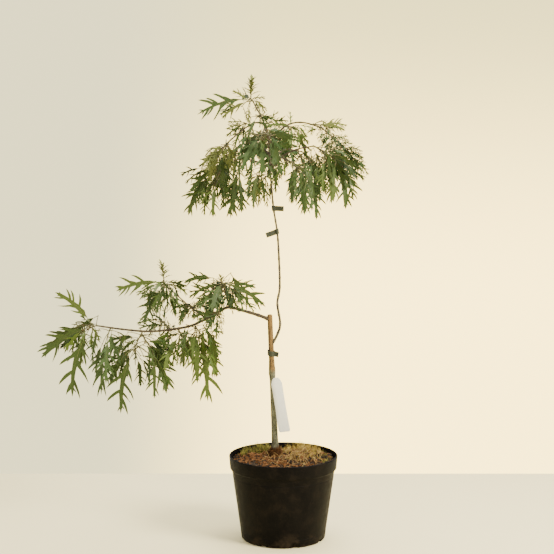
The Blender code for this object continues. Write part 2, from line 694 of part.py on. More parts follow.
def free_leaf(leaf, siblings, obstacles):
    """The leaf turned aside as little as keeps it clear of its neighbours, or None.

    It has to miss every obstacle. It also misses its siblings if it can.
    """
    fallback = None
    for bearing, slope in TURNS_ASIDE:
        turned_leaf = leaf._replace(bearing=leaf.bearing + bearing, slope=leaf.slope + slope)
        tree = search_tree(*leaf_solid(turned_leaf, LEAF_CLEARANCE))
        if any(tree.overlap(other) for other in obstacles):
            continue
        if not any(crosses_blade(turned_leaf, tree, other) for other in siblings):
            return turned_leaf
        fallback = fallback or turned_leaf
    return fallback


def crosses_blade(leaf, tree, other):
    """Whether a leaf meets a sibling further from its root than the stalks that they share."""
    verts, faces = leaf_solid(leaf, LEAF_CLEARANCE)
    for own, _ in tree.overlap(other):
        middle = sum((verts[i] for i in faces[own]), Vector()) / 3
        if (middle - leaf.root).length > leaf.length * WEDGE_END:
            return True
    return False


def mass_parts(mass, paths, obstacles, own_limb):
    """Solids of one mass, its stem first: every one is clear of the obstacles."""
    twigs = mass_twigs(mass, paths)
    parts = []
    for i, twig in enumerate(twigs):
        part = tube(twig, taper(len(twig), TWIG_RADIUS, TWIG_TIP_RADIUS), TWIG_SIDES, pointed=True)
        if i == 0 or not any(search_tree(*part).overlap(other) for other in obstacles):
            parts.append(part)
    siblings = []
    skipped = 0
    for spray, twig in zip(mass.sprays, twigs):
        for wanted in spray_leaves(spray, twig):
            leaf = free_leaf(wanted, siblings, obstacles + [own_limb])
            if leaf is None:
                skipped += 1
                continue
            siblings.append(search_tree(*leaf_solid(leaf)))
            parts.append(leaf_solid(leaf))
    if mass.name in SPRIGS:
        parts += [part for part in sprig_parts(SPRIGS[mass.name], twigs[0])
                  if not any(search_tree(*part).overlap(other) for other in obstacles)]
    print(f"{mass.name}: {len(siblings)} leaves, {skipped} skipped")
    return parts


def fuse_mass(mass, parts, paths):
    """One solid from a mass's parts, trimmed to its seat on the limb that it springs from."""
    stem = new_object(mass.name, *parts[0], "leaf")
    pieces = bpy.data.collections.new("pieces")
    bpy.context.scene.collection.children.link(pieces)
    for part in parts[1:]:
        piece = new_object("piece", *part, "leaf")
        bpy.context.scene.collection.objects.unlink(piece)
        pieces.objects.link(piece)
    fuse = stem.modifiers.new("fuse", "BOOLEAN")
    fuse.operation = "UNION"
    fuse.solver = "MANIFOLD"
    fuse.operand_type = "COLLECTION"
    fuse.collection = pieces
    apply_modifiers(stem)
    for piece in list(pieces.objects):
        bpy.data.objects.remove(piece)
    bpy.data.collections.remove(pieces)
    keep_main_body(stem)
    path, radii = paths[mass.limb]
    if mass.sprays[0].at < 1.0:
        cut_away(stem, *tube(path, [r + CLEAR for r in radii], LIMB_SIDES))
    smooth_shade(stem, 35.0)
    return stem


def sprig_parts(sprig, stem):
    """Young shoot and its short leaflets, set round it in a spiral."""
    draw = random.Random(sprig.seed)
    root, _ = point_along(stem, 0.85)
    shoot = bending_path(root, *sprig.heading, sprig.length, 4.0, 4)
    parts = [tube(shoot, taper(len(shoot), 0.0013, 0.0007), 4, pointed=True)]
    for i in range(sprig.leaflets):
        share = 0.25 + 0.72 * i / (sprig.leaflets - 1)
        at, _ = point_along(shoot, share)
        bearing = 137.5 * i + draw.uniform(-12, 12)
        parts.append(leaflet_solid(at, bearing, 44 + 26 * share, sprig.size * draw.uniform(0.85, 1.1)))
    return parts


# ---------------------------------------------------------------- ties and label

def build_tie(name, centre, along, inner, tail, tail_bearing, tail_slope):
    """Band of tape round a stem, with its pinched tail standing out on one side."""
    frame = Vector((0, 0, 1)).rotation_difference(along).to_matrix()
    sides = 12
    outer = inner + TAPE_THICKNESS
    half = TAPE_HEIGHT / 2
    verts = []
    for radius, height in ((inner, -half), (outer, -half), (outer, half), (inner, half)):
        for k in range(sides):
            a = 2 * math.pi * k / sides
            verts.append(centre + frame @ Vector((radius * math.cos(a), radius * math.sin(a), height)))
    faces = []
    for row in range(4):
        for k in range(sides):
            n = (k + 1) % sides
            a, b = row * sides, ((row + 1) % 4) * sides
            faces.append((a + k, a + n, b + n, b + k))
    band = new_object(name, verts, faces, "tie")
    out = direction(tail_bearing, tail_slope)
    upright = (along - out * along.dot(out)).normalized()
    across = out.cross(upright)
    near = centre + out * (inner + TAPE_THICKNESS * 0.5)
    corners = [near + out * x + across * y + upright * z for x in (0.0, tail)
               for y in (-TAPE_THICKNESS, TAPE_THICKNESS) for z in (-half * 0.97, half * 0.97)]
    box = ((0, 1, 3, 2), (4, 6, 7, 5), (0, 4, 5, 1), (2, 3, 7, 6), (0, 2, 6, 4), (1, 5, 7, 3))
    flap = new_object("flap", corners, box, "tie")
    join = band.modifiers.new("join", "BOOLEAN")
    join.operation = "UNION"
    join.solver = "EXACT"
    join.object = flap
    apply_modifiers(band)
    bpy.data.objects.remove(flap)
    keep_main_body(band)
    smooth_shade(band, 40.0)
    return band


def build_ties(paths):
    """Three ties of tape: two on the leader, one where the leader joins the trunk."""
    ties = []
    path, radii = paths["leader"]
    for name, height, tail, bearing, slope in (("tie_upper", 0.6725, 0.0170, -8.0, -2.0),
                                               ("tie_middle", 0.6260, 0.0200, 192.0, -18.0)):
        share = share_at_height(path, height)
        centre, along = point_along(path, share)
        radius = radii[0] + (radii[-1] - radii[0]) * share
        ties.append(build_tie(name, centre, along, radius + 3 * CLEAR, tail, bearing, slope))
    centre, along = point_along([TRUNK_FOOT, TRUNK_TOP], share_at_height([TRUNK_FOOT, TRUNK_TOP], 0.3790))
    ties.append(build_tie("tie_low", centre, along, TRUNK_RADIUS + 2 * CLEAR, 0.0080, -20.0, -10.0))
    return ties


def share_at_height(path, height):
    """Share of a path's length at which it first reaches a height."""
    total = sum((q - p).length for p, q in zip(path, path[1:]))
    done = 0.0
    for p, q in zip(path, path[1:]):
        if p.z <= height <= q.z:
            return (done + (q - p).length * (height - p.z) / (q.z - p.z)) / total
        done += (q - p).length
    return 1.0


def build_label():
    """Blank strip label, hung by its slotted head on the trunk under the graft."""
    head = 0.330
    centre, _ = point_along([TRUNK_FOOT, TRUNK_TOP], share_at_height([TRUNK_FOOT, TRUNK_TOP], head))
    front = centre + Vector((0.0065, -(TRUNK_RADIUS + 0.0030), 0.0))
    down = Vector((0.17, -0.04, -1.0)).normalized()
    across = Vector((1.0, -0.30, 0.17)).normalized()
    across = (across - down * across.dot(down)).normalized()
    normal = down.cross(across)
    outline = [(-0.28, 0.0), (0.28, 0.0), (0.5, 0.10), (0.5, 0.98), (0.42, 1.0), (-0.42, 1.0), (-0.5, 0.98), (-0.5, 0.10)]
    verts = []
    for turn in (-0.5, 0.5):
        for x, y in outline:
            bow = 0.0020 * math.sin(math.pi * y)
            verts.append(front + across * x * LABEL_WIDTH + down * y * LABEL_LENGTH
                         + normal * (turn * LABEL_THICKNESS + bow))
    count = len(outline)
    faces = [tuple(range(count)), tuple(range(count, 2 * count))]
    faces += [(k, (k + 1) % count, count + (k + 1) % count, count + k) for k in range(count)]
    label = new_object("label", verts, faces, "label")
    return label


# ---------------------------------------------------------------- assembly

def main():
    """Build every piece in order, each mass clear of what is already there."""
    for obj in list(bpy.data.objects):
        bpy.data.objects.remove(obj)
    paths = paths_by_name()
    fixed = [build_pot(), build_soil(), build_trunk(), *build_ties(paths), build_label()]
    taken = {obj.name: search_tree([v.co for v in obj.data.vertices],
                                   [tuple(p.vertices) for p in obj.data.polygons]) for obj in fixed}
    for limb in LIMBS:
        build_limb(limb, paths)
        path, radii = paths[limb.name]
        taken[limb.name] = search_tree(*tube(path, [r + CLEAR for r in radii], LIMB_SIDES))
    foliage = []
    for mass in MASSES:
        others = [tree for name, tree in taken.items() if name != mass.limb]
        parts = mass_parts(mass, paths, others + foliage, taken[mass.limb])
        fuse_mass(mass, parts, paths)
        foliage += [search_tree(*part) for part in parts]


if __name__ == "__main__":
    main()
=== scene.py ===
"""Looks of a young potted oak with a weeping crown: bark, leaves, pot, compost, moss, ties and label.

The file builds each sub-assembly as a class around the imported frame, in metres, with +Z up and the
origin at the centre of the pot's flat underside. Limbs and leaves follow the same tables and the
same seeded rule as the solids, so every fine leaf lies where its plain solid lies.
"""

import logging
import math
from dataclasses import dataclass, field
from enum import Enum
from functools import cache
from random import Random
from typing import Callable, Iterable, NamedTuple, Sequence

import bmesh
import bpy
from bpy.types import Material, Node, NodeSocket, NodeTree, Object
from mathutils import Matrix, Vector, noise
from mathutils.bvhtree import BVHTree
from mathutils.geometry import delaunay_2d_cdt


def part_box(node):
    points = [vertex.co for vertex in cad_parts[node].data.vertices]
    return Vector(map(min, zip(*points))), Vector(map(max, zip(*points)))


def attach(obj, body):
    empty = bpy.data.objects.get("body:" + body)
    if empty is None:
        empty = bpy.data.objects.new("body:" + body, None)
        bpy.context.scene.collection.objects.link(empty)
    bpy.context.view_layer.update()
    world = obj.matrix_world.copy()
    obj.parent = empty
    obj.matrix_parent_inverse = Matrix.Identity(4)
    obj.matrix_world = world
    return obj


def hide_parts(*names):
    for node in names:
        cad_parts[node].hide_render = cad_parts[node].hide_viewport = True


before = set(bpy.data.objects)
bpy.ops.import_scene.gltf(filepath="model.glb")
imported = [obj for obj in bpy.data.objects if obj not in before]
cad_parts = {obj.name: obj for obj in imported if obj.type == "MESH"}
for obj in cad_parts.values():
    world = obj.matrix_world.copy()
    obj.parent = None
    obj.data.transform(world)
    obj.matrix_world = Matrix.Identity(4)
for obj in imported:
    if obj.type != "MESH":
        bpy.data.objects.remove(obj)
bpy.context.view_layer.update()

log = logging.getLogger("potted_oak")

UP = Vector((0.0, 0.0, 1.0))
Colour = tuple[float, float, float]
Points = list[Vector]
Faces = list[tuple[int, ...]]
Body = tuple[Points, Faces]
Run = tuple[Points, list[float]]
Runs = dict[str, Run]
Pair = tuple[float, float]
Outline = list[Pair]
Mark = tuple[float, float, float]

# ---------------- sizes that the solids share

CLEAR = 0.0003
POT_HEIGHT = 0.172
POT_RIM_RADIUS = 0.11
POT_BASE_RADIUS = 0.0853
POT_NECK_RADIUS = 0.104
POT_BAND_HEIGHT = 0.028
POT_BAND_TAPER = 0.002
POT_WALL = 0.0018
POT_FLOOR = 0.003
NOTCHES = 8
NOTCH_WIDTH = 0.014
NOTCH_DEPTH = 0.009
NOTCH_HEIGHT = 0.0055
NOTCH_TURN = 16.0
SOIL_EDGE = 0.1605
SOIL_CROWN = 0.006
SEAT_RADIUS = 0.015
SEAT_HEIGHT = 0.17
HUMMOCKS = ((0.046, 0.02, 0.0085, 0.03), (-0.052, 0.034, 0.0045, 0.026), (0.01, -0.055, 0.002, 0.03))
TRUNK_FOOT = Vector((-0.016, 0.01, SEAT_HEIGHT + CLEAR))
TRUNK_TOP = Vector((-0.0272, 0.008, 0.4555))
TRUNK_RADIUS = 0.0064
TRUNK_TOP_RADIUS = 0.005
ROOT_FLARE = 0.0056
ROOT_FLARE_FALL = 0.011
GRAFT_HEIGHT = 0.343
GRAFT_SWELL = 0.0011
GRAFT_SPREAD = 0.014
LIMB_SIDES = 6
ALL_SMOOTH = 180.0
SPIRAL_TURN = 137.5
LIMB_SPACING = 0.025
STALK_HALF_WIDTH = 0.001
WEDGE_END = 0.3
LOBES_END = 0.88
BLADE_HALF_WIDTH = 0.036
LOBE_REACH = 0.205
LOBE_FORWARD = 0.2
RIB_HALF_THICKNESS = 0.0125
LEAF_CURL = 36.0
LONG_LEAF = 0.092
LONG_LEAF_LOBES = 5
SHORT_LEAF_LOBES = 4
TWIG_RADIUS = 0.0016
TWIG_TIP_RADIUS = 0.0009
TWIG_SIDES = 4
TWIG_SPACING = 0.018
TWIG_SAG = 14.0
SCATTER_BEARING = 20.0
SCATTER_TILT = 5.0
SCATTER_SIZE = 0.06
SCATTER_FACE = 30.0
LEAF_CLEARANCE = 0.0006
TURNS_ASIDE = ((0, 0), (12, 0), (-12, 0), (0, 8), (0, -8), (22, -4), (-22, -4), (0, 14), (0, -14))
TAPE_THICKNESS = 0.0011
TAPE_HEIGHT = 0.0105
LABEL_WIDTH = 0.024
LABEL_LENGTH = 0.112
LABEL_THICKNESS = 0.001


class Limb(NamedTuple):
    """A tapering limb: its parent and the stations of its centre line, base to tip."""

    name: str
    parent: str
    radius: float
    tip_radius: float
    stations: tuple[tuple[float, float, float], ...]


class Spray(NamedTuple):
    """A twig and the fan of leaves on it."""

    at: float
    heading: Pair
    length: float
    leaves: int
    fan: Pair
    tilt: Pair
    size: Pair
    face: float
    seed: int


class Mass(NamedTuple):
    """A mass of foliage: the limb it springs from, its stem's spray first, then side sprays."""

    name: str
    limb: str
    sprays: tuple[Spray, ...]


class Sprig(NamedTuple):
    """A young upright shoot set with short leaflets."""

    heading: Pair
    length: float
    leaflets: int
    size: float
    seed: int


class Leaf(NamedTuple):
    """Where a leaf springs, which way it goes and how long it is."""

    root: Vector
    bearing: float
    slope: float
    length: float
    face: float
    seed: int


LIMBS = (
    Limb("leader", "trunk", 0.0026, 0.0014, (
        (-0.024, 0.007, 0.396), (-0.0125, 0.005, 0.417), (-0.0065, 0.0035, 0.44),
        (-0.012, 0.003, 0.481), (-0.0072, 0.002, 0.516), (-0.0098, 0.002, 0.592),
        (-0.013, 0.001, 0.63), (-0.0205, 0.0, 0.679), (-0.026, 0.0, 0.749),
        (-0.0285, 0.0, 0.794), (-0.034, -0.001, 0.832), (-0.059, -0.004, 0.882))),
    Limb("bough_lower", "trunk", 0.0034, 0.0016, (
        (-0.028, 0.008, 0.448), (-0.054, 0.005, 0.458), (-0.086, 0.001, 0.468),
        (-0.11, -0.001, 0.4735), (-0.13, -0.004, 0.465), (-0.178, -0.008, 0.44),
        (-0.219, -0.011, 0.431), (-0.268, -0.015, 0.427), (-0.318, -0.019, 0.4315),
        (-0.369, -0.024, 0.4395))),
    Limb("shoot_upright", "bough_lower", 0.0014, 0.0011, (
        (-0.107, -0.001, 0.4735), (-0.115, -0.002, 0.498), (-0.119, -0.003, 0.513))),
    Limb("shoot_long", "bough_lower", 0.0017, 0.0012, (
        (-0.156, -0.006, 0.452), (-0.171, -0.003, 0.463), (-0.187, 0.0, 0.474),
        (-0.205, 0.003, 0.49), (-0.231, 0.005, 0.513))),
    Limb("bough_left_upper", "leader", 0.0018, 0.0013, (
        (-0.037, -0.001, 0.84), (-0.056, -0.006, 0.842), (-0.078, -0.014, 0.83),
        (-0.1, -0.02, 0.812))),
    Limb("bough_left_low", "leader", 0.0019, 0.0013, (
        (-0.0265, 0.0, 0.753), (-0.05, 0.002, 0.764), (-0.076, 0.004, 0.77),
        (-0.102, 0.006, 0.768))),
    Limb("bough_right_upper", "leader", 0.002, 0.0013, (
        (-0.029, 0.0, 0.799), (-0.007, 0.004, 0.826), (0.014, 0.007, 0.84),
        (0.041, 0.009, 0.842), (0.072, 0.01, 0.833))),
    Limb("bough_right_low", "leader", 0.0018, 0.0013, (
        (-0.027, 0.0, 0.769), (-0.004, -0.006, 0.776), (0.026, -0.012, 0.79),
        (0.056, -0.016, 0.796))),
    Limb("bough_front", "leader", 0.0017, 0.0012, (
        (-0.031, -0.001, 0.812), (-0.035, -0.036, 0.83), (-0.04, -0.076, 0.825))),
    Limb("bough_back", "leader", 0.0018, 0.0012, (
        (-0.03, 0.0, 0.805), (-0.024, 0.044, 0.827), (-0.014, 0.094, 0.823))),
    Limb("bough_back_left", "leader", 0.0018, 0.0012, (
        (-0.028, 0.0, 0.78), (-0.054, 0.04, 0.802), (-0.086, 0.084, 0.796))),
    Limb("bough_back_right", "leader", 0.0018, 0.0012, (
        (-0.027, 0.0, 0.764), (0.002, 0.042, 0.787), (0.036, 0.086, 0.782))),
    Limb("bough_front_right", "leader", 0.0016, 0.0011, (
        (-0.0265, -0.001, 0.758), (-0.006, -0.04, 0.774), (0.014, -0.08, 0.768))),
)

MASSES = (
    Mass("leaves_lower_tip", "bough_lower", (
        Spray(1.0, (185, -10), 0.014, 2, (180, 192), (-14, -58), (0.118, 0.152), 270, 11),
        Spray(0.5, (150, 40), 0.01, 2, (180, 140), (58, 20), (0.096, 0.05), 280, 12))),
    Mass("leaves_lower_hanging", "bough_lower", (
        Spray(0.93, (200, -62), 0.018, 3, (190, 300), (-62, -40), (0.124, 0.07), 266, 15),)),
    Mass("leaves_lower_outer", "bough_lower", (
        Spray(0.75, (192, -58), 0.044, 3, (180, 186), (-24, -58), (0.05, 0.142), 272, 21),
        Spray(0.12, (350, -54), 0.018, 2, (350, 20), (-48, -30), (0.132, 0.07), 266, 22))),
    Mass("leaves_lower_middle", "bough_lower", (
        Spray(0.6, (150, 50), 0.02, 3, (182, 100), (12, 60), (0.064, 0.045), 270, 31),)),
    Mass("leaves_lower_under", "bough_lower", (
        Spray(0.55, (330, -60), 0.016, 3, (100, 350), (-40, -56), (0.07, 0.094), 272, 35),)),
    Mass("leaves_lower_inner", "bough_lower", (
        Spray(0.455, (300, -64), 0.022, 3, (200, 350), (-60, -66), (0.07, 0.136), 268, 41),
        Spray(0.2, (10, -50), 0.018, 2, (356, 60), (-60, -50), (0.096, 0.056), 284, 42))),
    Mass("leaves_lower_upright", "shoot_upright", (
        Spray(1.0, (170, 66), 0.008, 3, (182, 356), (-6, -14), (0.08, 0.106), 275, 51),
        Spray(0.3, (90, 20), 0.012, 2, (60, 110), (10, -10), (0.066, 0.06), 100, 52))),
    Mass("leaves_lower_shade", "bough_lower", (
        Spray(0.3, (260, -20), 0.014, 3, (184, 250), (6, -60), (0.06, 0.05), 262, 55),)),
    Mass("leaves_lower_sprig", "shoot_long", (
        Spray(1.0, (165, 60), 0.012, 3, (180, 350), (8, 6), (0.098, 0.048), 270, 61),
        Spray(0.4, (265, 10), 0.01, 3, (186, 300), (-38, -50), (0.088, 0.046), 268, 62))),
    Mass("leaves_lower_crest", "shoot_long", (
        Spray(0.3, (60, 55), 0.014, 3, (165, 10), (10, -10), (0.05, 0.066), 272, 65),)),
    Mass("leaves_top", "leader", (
        Spray(1.0, (150, 40), 0.007, 3, (180, 4), (1, 22), (0.121, 0.034), 272, 71),
        Spray(0.3, (190, 0), 0.01, 2, (184, 170), (-15, 52), (0.064, 0.038), 268, 72))),
    Mass("leaves_top_right", "leader", (
        Spray(0.905, (2, 18), 0.014, 3, (5, 350), (68, 20), (0.032, 0.04), 270, 77),)),
    Mass("leaves_top_under", "leader", (
        Spray(0.945, (210, -30), 0.01, 2, (205, 350), (-46, 10), (0.06, 0.034), 268, 75),)),
    Mass("leaves_left_upper", "bough_left_upper", (
        Spray(1.0, (188, -40), 0.04, 5, (184, 178), (-22, -58), (0.05, 0.058), 275, 81),
        Spray(0.2, (210, -50), 0.016, 2, (190, 240), (-40, -62), (0.06, 0.066), 265, 82))),
    Mass("leaves_left_ridge", "bough_left_upper", (
        Spray(0.42, (200, 35), 0.01, 3, (184, 176), (20, -50), (0.042, 0.056), 272, 85),)),
    Mass("leaves_left_low", "bough_left_low", (
        Spray(1.0, (182, -30), 0.046, 4, (180, 188), (-12, -46), (0.07, 0.102), 270, 91),
        Spray(0.5, (205, -64), 0.038, 2, (188, 240), (-52, -62), (0.074, 0.068), 262, 92))),
    Mass("leaves_left_inner", "bough_left_low", (
        Spray(0.72, (205, -60), 0.036, 4, (184, 345), (-60, -64), (0.104, 0.078), 268, 101),)),
    Mass("leaves_left_core", "bough_left_low", (
        Spray(0.25, (250, -60), 0.024, 2, (200, 330), (-60, -66), (0.08, 0.06), 268, 105),)),
    Mass("leaves_front", "bough_front", (
        Spray(1.0, (255, -30), 0.02, 4, (200, 320), (-36, -66), (0.08, 0.07), 270, 111),
        Spray(0.3, (330, 0), 0.016, 2, (340, 300), (10, -50), (0.06, 0.07), 280, 112))),
    Mass("leaves_right_inner", "bough_right_upper", (
        Spray(0.42, (330, 0), 0.016, 4, (110, 320), (56, -50), (0.04, 0.072), 270, 121),)),
    Mass("leaves_right_upper", "bough_right_upper", (
        Spray(0.84, (350, 4), 0.022, 4, (80, 2), (-6, 16), (0.044, 0.06), 262, 131),)),
    Mass("leaves_right_outer", "bough_right_upper", (
        Spray(1.0, (0, -38), 0.104, 6, (4, -4), (34, -28), (0.027, 0.036), 270, 141),
        Spray(0.35, (300, -60), 0.02, 3, (350, 200), (-62, -72), (0.076, 0.066), 272, 142))),
    Mass("leaves_right_low", "bough_right_low", (
        Spray(1.0, (357, -26), 0.054, 5, (358, 350), (-14, -58), (0.07, 0.104), 268, 151),
        Spray(0.4, (330, -56), 0.02, 3, (240, 350), (-56, -70), (0.08, 0.088), 275, 152))),
    Mass("leaves_right_hanging", "bough_right_low", (
        Spray(0.66, (345, -62), 0.062, 4, (200, 352), (-58, -62), (0.072, 0.092), 272, 161),)),
    Mass("leaves_right_core", "bough_right_low", (
        Spray(0.3, (320, -40), 0.018, 2, (240, 350), (-50, -10), (0.06, 0.06), 268, 165),)),
    Mass("leaves_centre", "leader", (
        Spray(0.752, (340, -50), 0.014, 2, (10, 300), (-62, -70), (0.04, 0.05), 262, 171),)),
    Mass("leaves_centre_left", "leader", (
        Spray(0.7, (140, -16), 0.03, 3, (205, 110), (-40, -62), (0.06, 0.054), 262, 175),)),
    Mass("leaves_back", "bough_back", (
        Spray(1.0, (80, -30), 0.026, 4, (40, 140), (-30, -60), (0.084, 0.086), 90, 181),
        Spray(0.4, (150, 0), 0.018, 2, (120, 170), (10, -40), (0.07, 0.08), 100, 182))),
    Mass("leaves_back_left", "bough_back_left", (
        Spray(1.0, (140, -30), 0.034, 4, (104, 180), (-26, -66), (0.086, 0.09), 110, 191),)),
    Mass("leaves_back_right", "bough_back_right", (
        Spray(1.0, (40, -25), 0.036, 4, (84, 5), (-22, -64), (0.082, 0.09), 80, 201),)),
    Mass("leaves_front_right", "bough_front_right", (
        Spray(1.0, (320, -35), 0.026, 3, (270, 350), (-44, -70), (0.078, 0.09), 280, 211),)),
)

SPRIGS = {
    "leaves_top": Sprig((60, 86), 0.036, 9, 0.013, 301),
    "leaves_lower_sprig": Sprig((150, 82), 0.036, 7, 0.012, 302),
    "leaves_lower_upright": Sprig((160, 80), 0.012, 4, 0.009, 303),
}


# ---------------- the rule that places limbs and leaves

def direction(bearing: float, slope: float) -> Vector:
    """Unit vector at a bearing in plan, from +X towards +Y, and a slope above level, both in degrees."""
    b, s = math.radians(bearing), math.radians(slope)
    return Vector((math.cos(s) * math.cos(b), math.cos(s) * math.sin(b), math.sin(s)))


def smooth_path(stations: Sequence[Sequence[float]], spacing: float) -> Points:
    """Points along a Catmull-Rom curve through the stations.

    Args:
        stations: Points that the curve passes through.
        spacing: Rough distance between the points that come back.

    Returns:
        The points, first and last station included.
    """
    pts = [Vector(p) for p in stations]
    padded = [pts[0] * 2 - pts[1]] + pts + [pts[-1] * 2 - pts[-2]]
    path = [pts[0]]
    for i in range(1, len(padded) - 2):
        a, b, c, d = padded[i - 1:i + 3]
        steps = max(1, round((c - b).length / spacing))
        for k in range(1, steps + 1):
            t = k / steps
            path.append(0.5 * (2 * b + (c - a) * t + (2 * a - 5 * b + 4 * c - d) * t * t
                               + (3 * b - a - 3 * c + d) * t ** 3))
    return path


def point_along(path: Points, share: float) -> tuple[Vector, Vector]:
    """Point and unit direction at a share of a path's length.

    Args:
        path: Points of the path.
        share: Share of the length, 0 to 1.

    Returns:
        The point and the direction there.
    """
    lengths = [(q - p).length for p, q in zip(path, path[1:])]
    left = share * sum(lengths)
    for p, q, length in zip(path, path[1:], lengths):
        if left <= length or q is path[-1]:
            return p.lerp(q, min(1.0, left / length)), (q - p).normalized()
        left -= length
    return path[-1], (path[-1] - path[-2]).normalized()


def bending_path(start: Vector, bearing: float, slope: float, length: float, bend: float,
                 steps: int) -> Points:
    """Points of a run that bends downwards along its length.

    Args:
        start: First point.
        bearing: Its bearing in degrees.
        slope: Its slope at the start.
        length: Its length.
        bend: Angle by which it bends down.
        steps: Number of straight steps.

    Returns:
        The points, start included.
    """
    points = [start.copy()]
    for k in range(steps):
        s = max(-88.0, slope - bend * (k + 0.5) / steps)
        points.append(points[-1] + direction(bearing, s) * (length / steps))
    return points


def taper(count: int, first: float, last: float) -> list[float]:
    """Radii that fall evenly from the first to the last."""
    return [first + (last - first) * i / (count - 1) for i in range(count)]


def ring_quads(rings: int, sides: int, start: int = 0) -> Faces:
    """Faces between rings of so many sides that follow one another, from a first vertex on."""
    starts = range(start, start + (rings - 1) * sides, sides)
    return [(a + k, a + n, a + sides + n, a + sides + k)
            for a in starts for k, n in ((k, (k + 1) % sides) for k in range(sides))]


def closed_rings(rings: int, sides: int) -> Faces:
    """Faces between rings of vertices, and the two that close their ends."""
    last = (rings - 1) * sides
    return ring_quads(rings, sides) + [tuple(range(sides)), tuple(range(last, last + sides))]


def circle(radius: float, height: float, sides: int) -> Points:
    """Points round the upright axis at a radius and a height."""
    turns = (math.tau * k / sides for k in range(sides))
    return [Vector((radius * math.cos(a), radius * math.sin(a), height)) for a in turns]


def scattered(draw: Random, spread: float) -> Vector:
    """Level vector whose two parts are dealt out round zero."""
    return Vector((draw.gauss(0, spread), draw.gauss(0, spread), 0.0))


def across_from(normal: Vector, along: Vector) -> Vector:
    """The part of a direction that stands square to another one."""
    return (normal - along * normal.dot(along)).normalized()


def tube(path: Points, radii: Sequence[float], sides: int, pointed: bool = False) -> Body:
    """Vertices and faces of a tube along a path, its rings carried without twist.

    Args:
        path: Centre line.
        radii: One radius for each point of the path.
        sides: Sides of each ring.
        pointed: Whether the end runs out to a point.

    Returns:
        Vertices and faces.
    """
    verts: Points = []
    along = (path[1] - path[0]).normalized()
    side = along.cross(UP if abs(along.z) < 0.9 else Vector((1.0, 0.0, 0.0))).normalized()
    for i, p in enumerate(path):
        before = path[max(0, i - 1)]
        after = path[min(len(path) - 1, i + 1)]
        turned = (after - before).normalized()
        side = along.rotation_difference(turned) @ side
        along = turned
        other = along.cross(side)
        for k in range(sides):
            a = 2 * math.pi * k / sides
            verts.append(p + (side * math.cos(a) + other * math.sin(a)) * radii[i])
    faces = closed_rings(len(path), sides)
    if pointed:
        verts.append(path[-1] + along * radii[-1] * 2.0)
        end = faces.pop()
        faces += [(end[k - 1], end[k], len(verts) - 1) for k in range(sides)]
    return verts, faces


def trunk_path(rings: int) -> Run:
    """Centre line and radii of the trunk, foot to top.

    Args:
        rings: Number of points along the trunk.

    Returns:
        The points and a radius for each.
    """
    shares = [(i / (rings - 1)) ** 1.35 for i in range(rings)]
    path = [TRUNK_FOOT.lerp(TRUNK_TOP, share) for share in shares]
    radii = [between((TRUNK_RADIUS, TRUNK_TOP_RADIUS), share)
             + ROOT_FLARE * math.exp(-(p.z - TRUNK_FOOT.z) / ROOT_FLARE_FALL)
             + GRAFT_SWELL * math.exp(-((p.z - GRAFT_HEIGHT) / GRAFT_SPREAD) ** 2)
             for p, share in zip(path, shares)]
    return path, radii


def limb_paths() -> Runs:
    """Centre line and radii of every limb by name, as the solids have them.

    Returns:
        The points and a radius for each, by name.
    """
    paths = {}
    for limb in LIMBS:
        path = smooth_path(limb.stations, LIMB_SPACING)
        paths[limb.name] = (path, taper(len(path), limb.radius, limb.tip_radius))
    return paths


def mass_twigs(mass: Mass, paths: Runs) -> list[Points]:
    """Centre line of every twig of a mass, its stem first.

    Args:
        mass: The mass.
        paths: Centre lines of the limbs.

    Returns:
        One list of points for each spray.
    """
    limb, _ = paths[mass.limb]
    twigs: list[Points] = []
    for spray in mass.sprays:
        root, along = point_along(twigs[0] if twigs else limb, spray.at)
        lead: Points = []
        if not twigs and spray.at >= 1.0:
            lead = [root + along * CLEAR]
            root = lead[0] + along * 2 * TWIG_RADIUS
        steps = max(2, round(spray.length / TWIG_SPACING))
        twigs.append(lead + bending_path(root, *spray.heading, spray.length, TWIG_SAG, steps))
    return twigs


def between(ends: Pair, share: float) -> float:
    """Value at a share of the way between two others."""
    return ends[0] + (ends[1] - ends[0]) * share


def spray_leaves(spray: Spray, twig: Points) -> list[Leaf]:
    """Leaves dealt out along a twig in a fan, most of them near its tip.

    Args:
        spray: The spray.
        twig: Its centre line.

    Returns:
        The leaves, before any is turned aside.
    """
    draw = Random(spray.seed)
    leaves = []
    for i in range(spray.leaves):
        share = i / max(1, spray.leaves - 1)
        root, _ = point_along(twig, 0.96 - 0.6 * (1 - share) * min(1.0, spray.length / 0.03))
        leaves.append(Leaf(
            root,
            between(spray.fan, share) + draw.uniform(-1, 1) * SCATTER_BEARING,
            between(spray.tilt, share) + draw.uniform(-1, 1) * SCATTER_TILT,
            between(spray.size, share) * (1 + draw.uniform(-1, 1) * SCATTER_SIZE),
            spray.face + draw.uniform(-1, 1) * SCATTER_FACE,
            spray.seed * 100 + i))
    return leaves


def leaf_spine(leaf: Leaf) -> Points:
    """Centre line of a leaf in space."""
    return bending_path(leaf.root, leaf.bearing, leaf.slope, leaf.length, LEAF_CURL, 10)


class LobePlan(NamedTuple):
    """One main lobe of a leaf in the leaf's own plane, as shares of its length."""

    base: float
    side: int
    out: float
    ahead: float
    lift: float


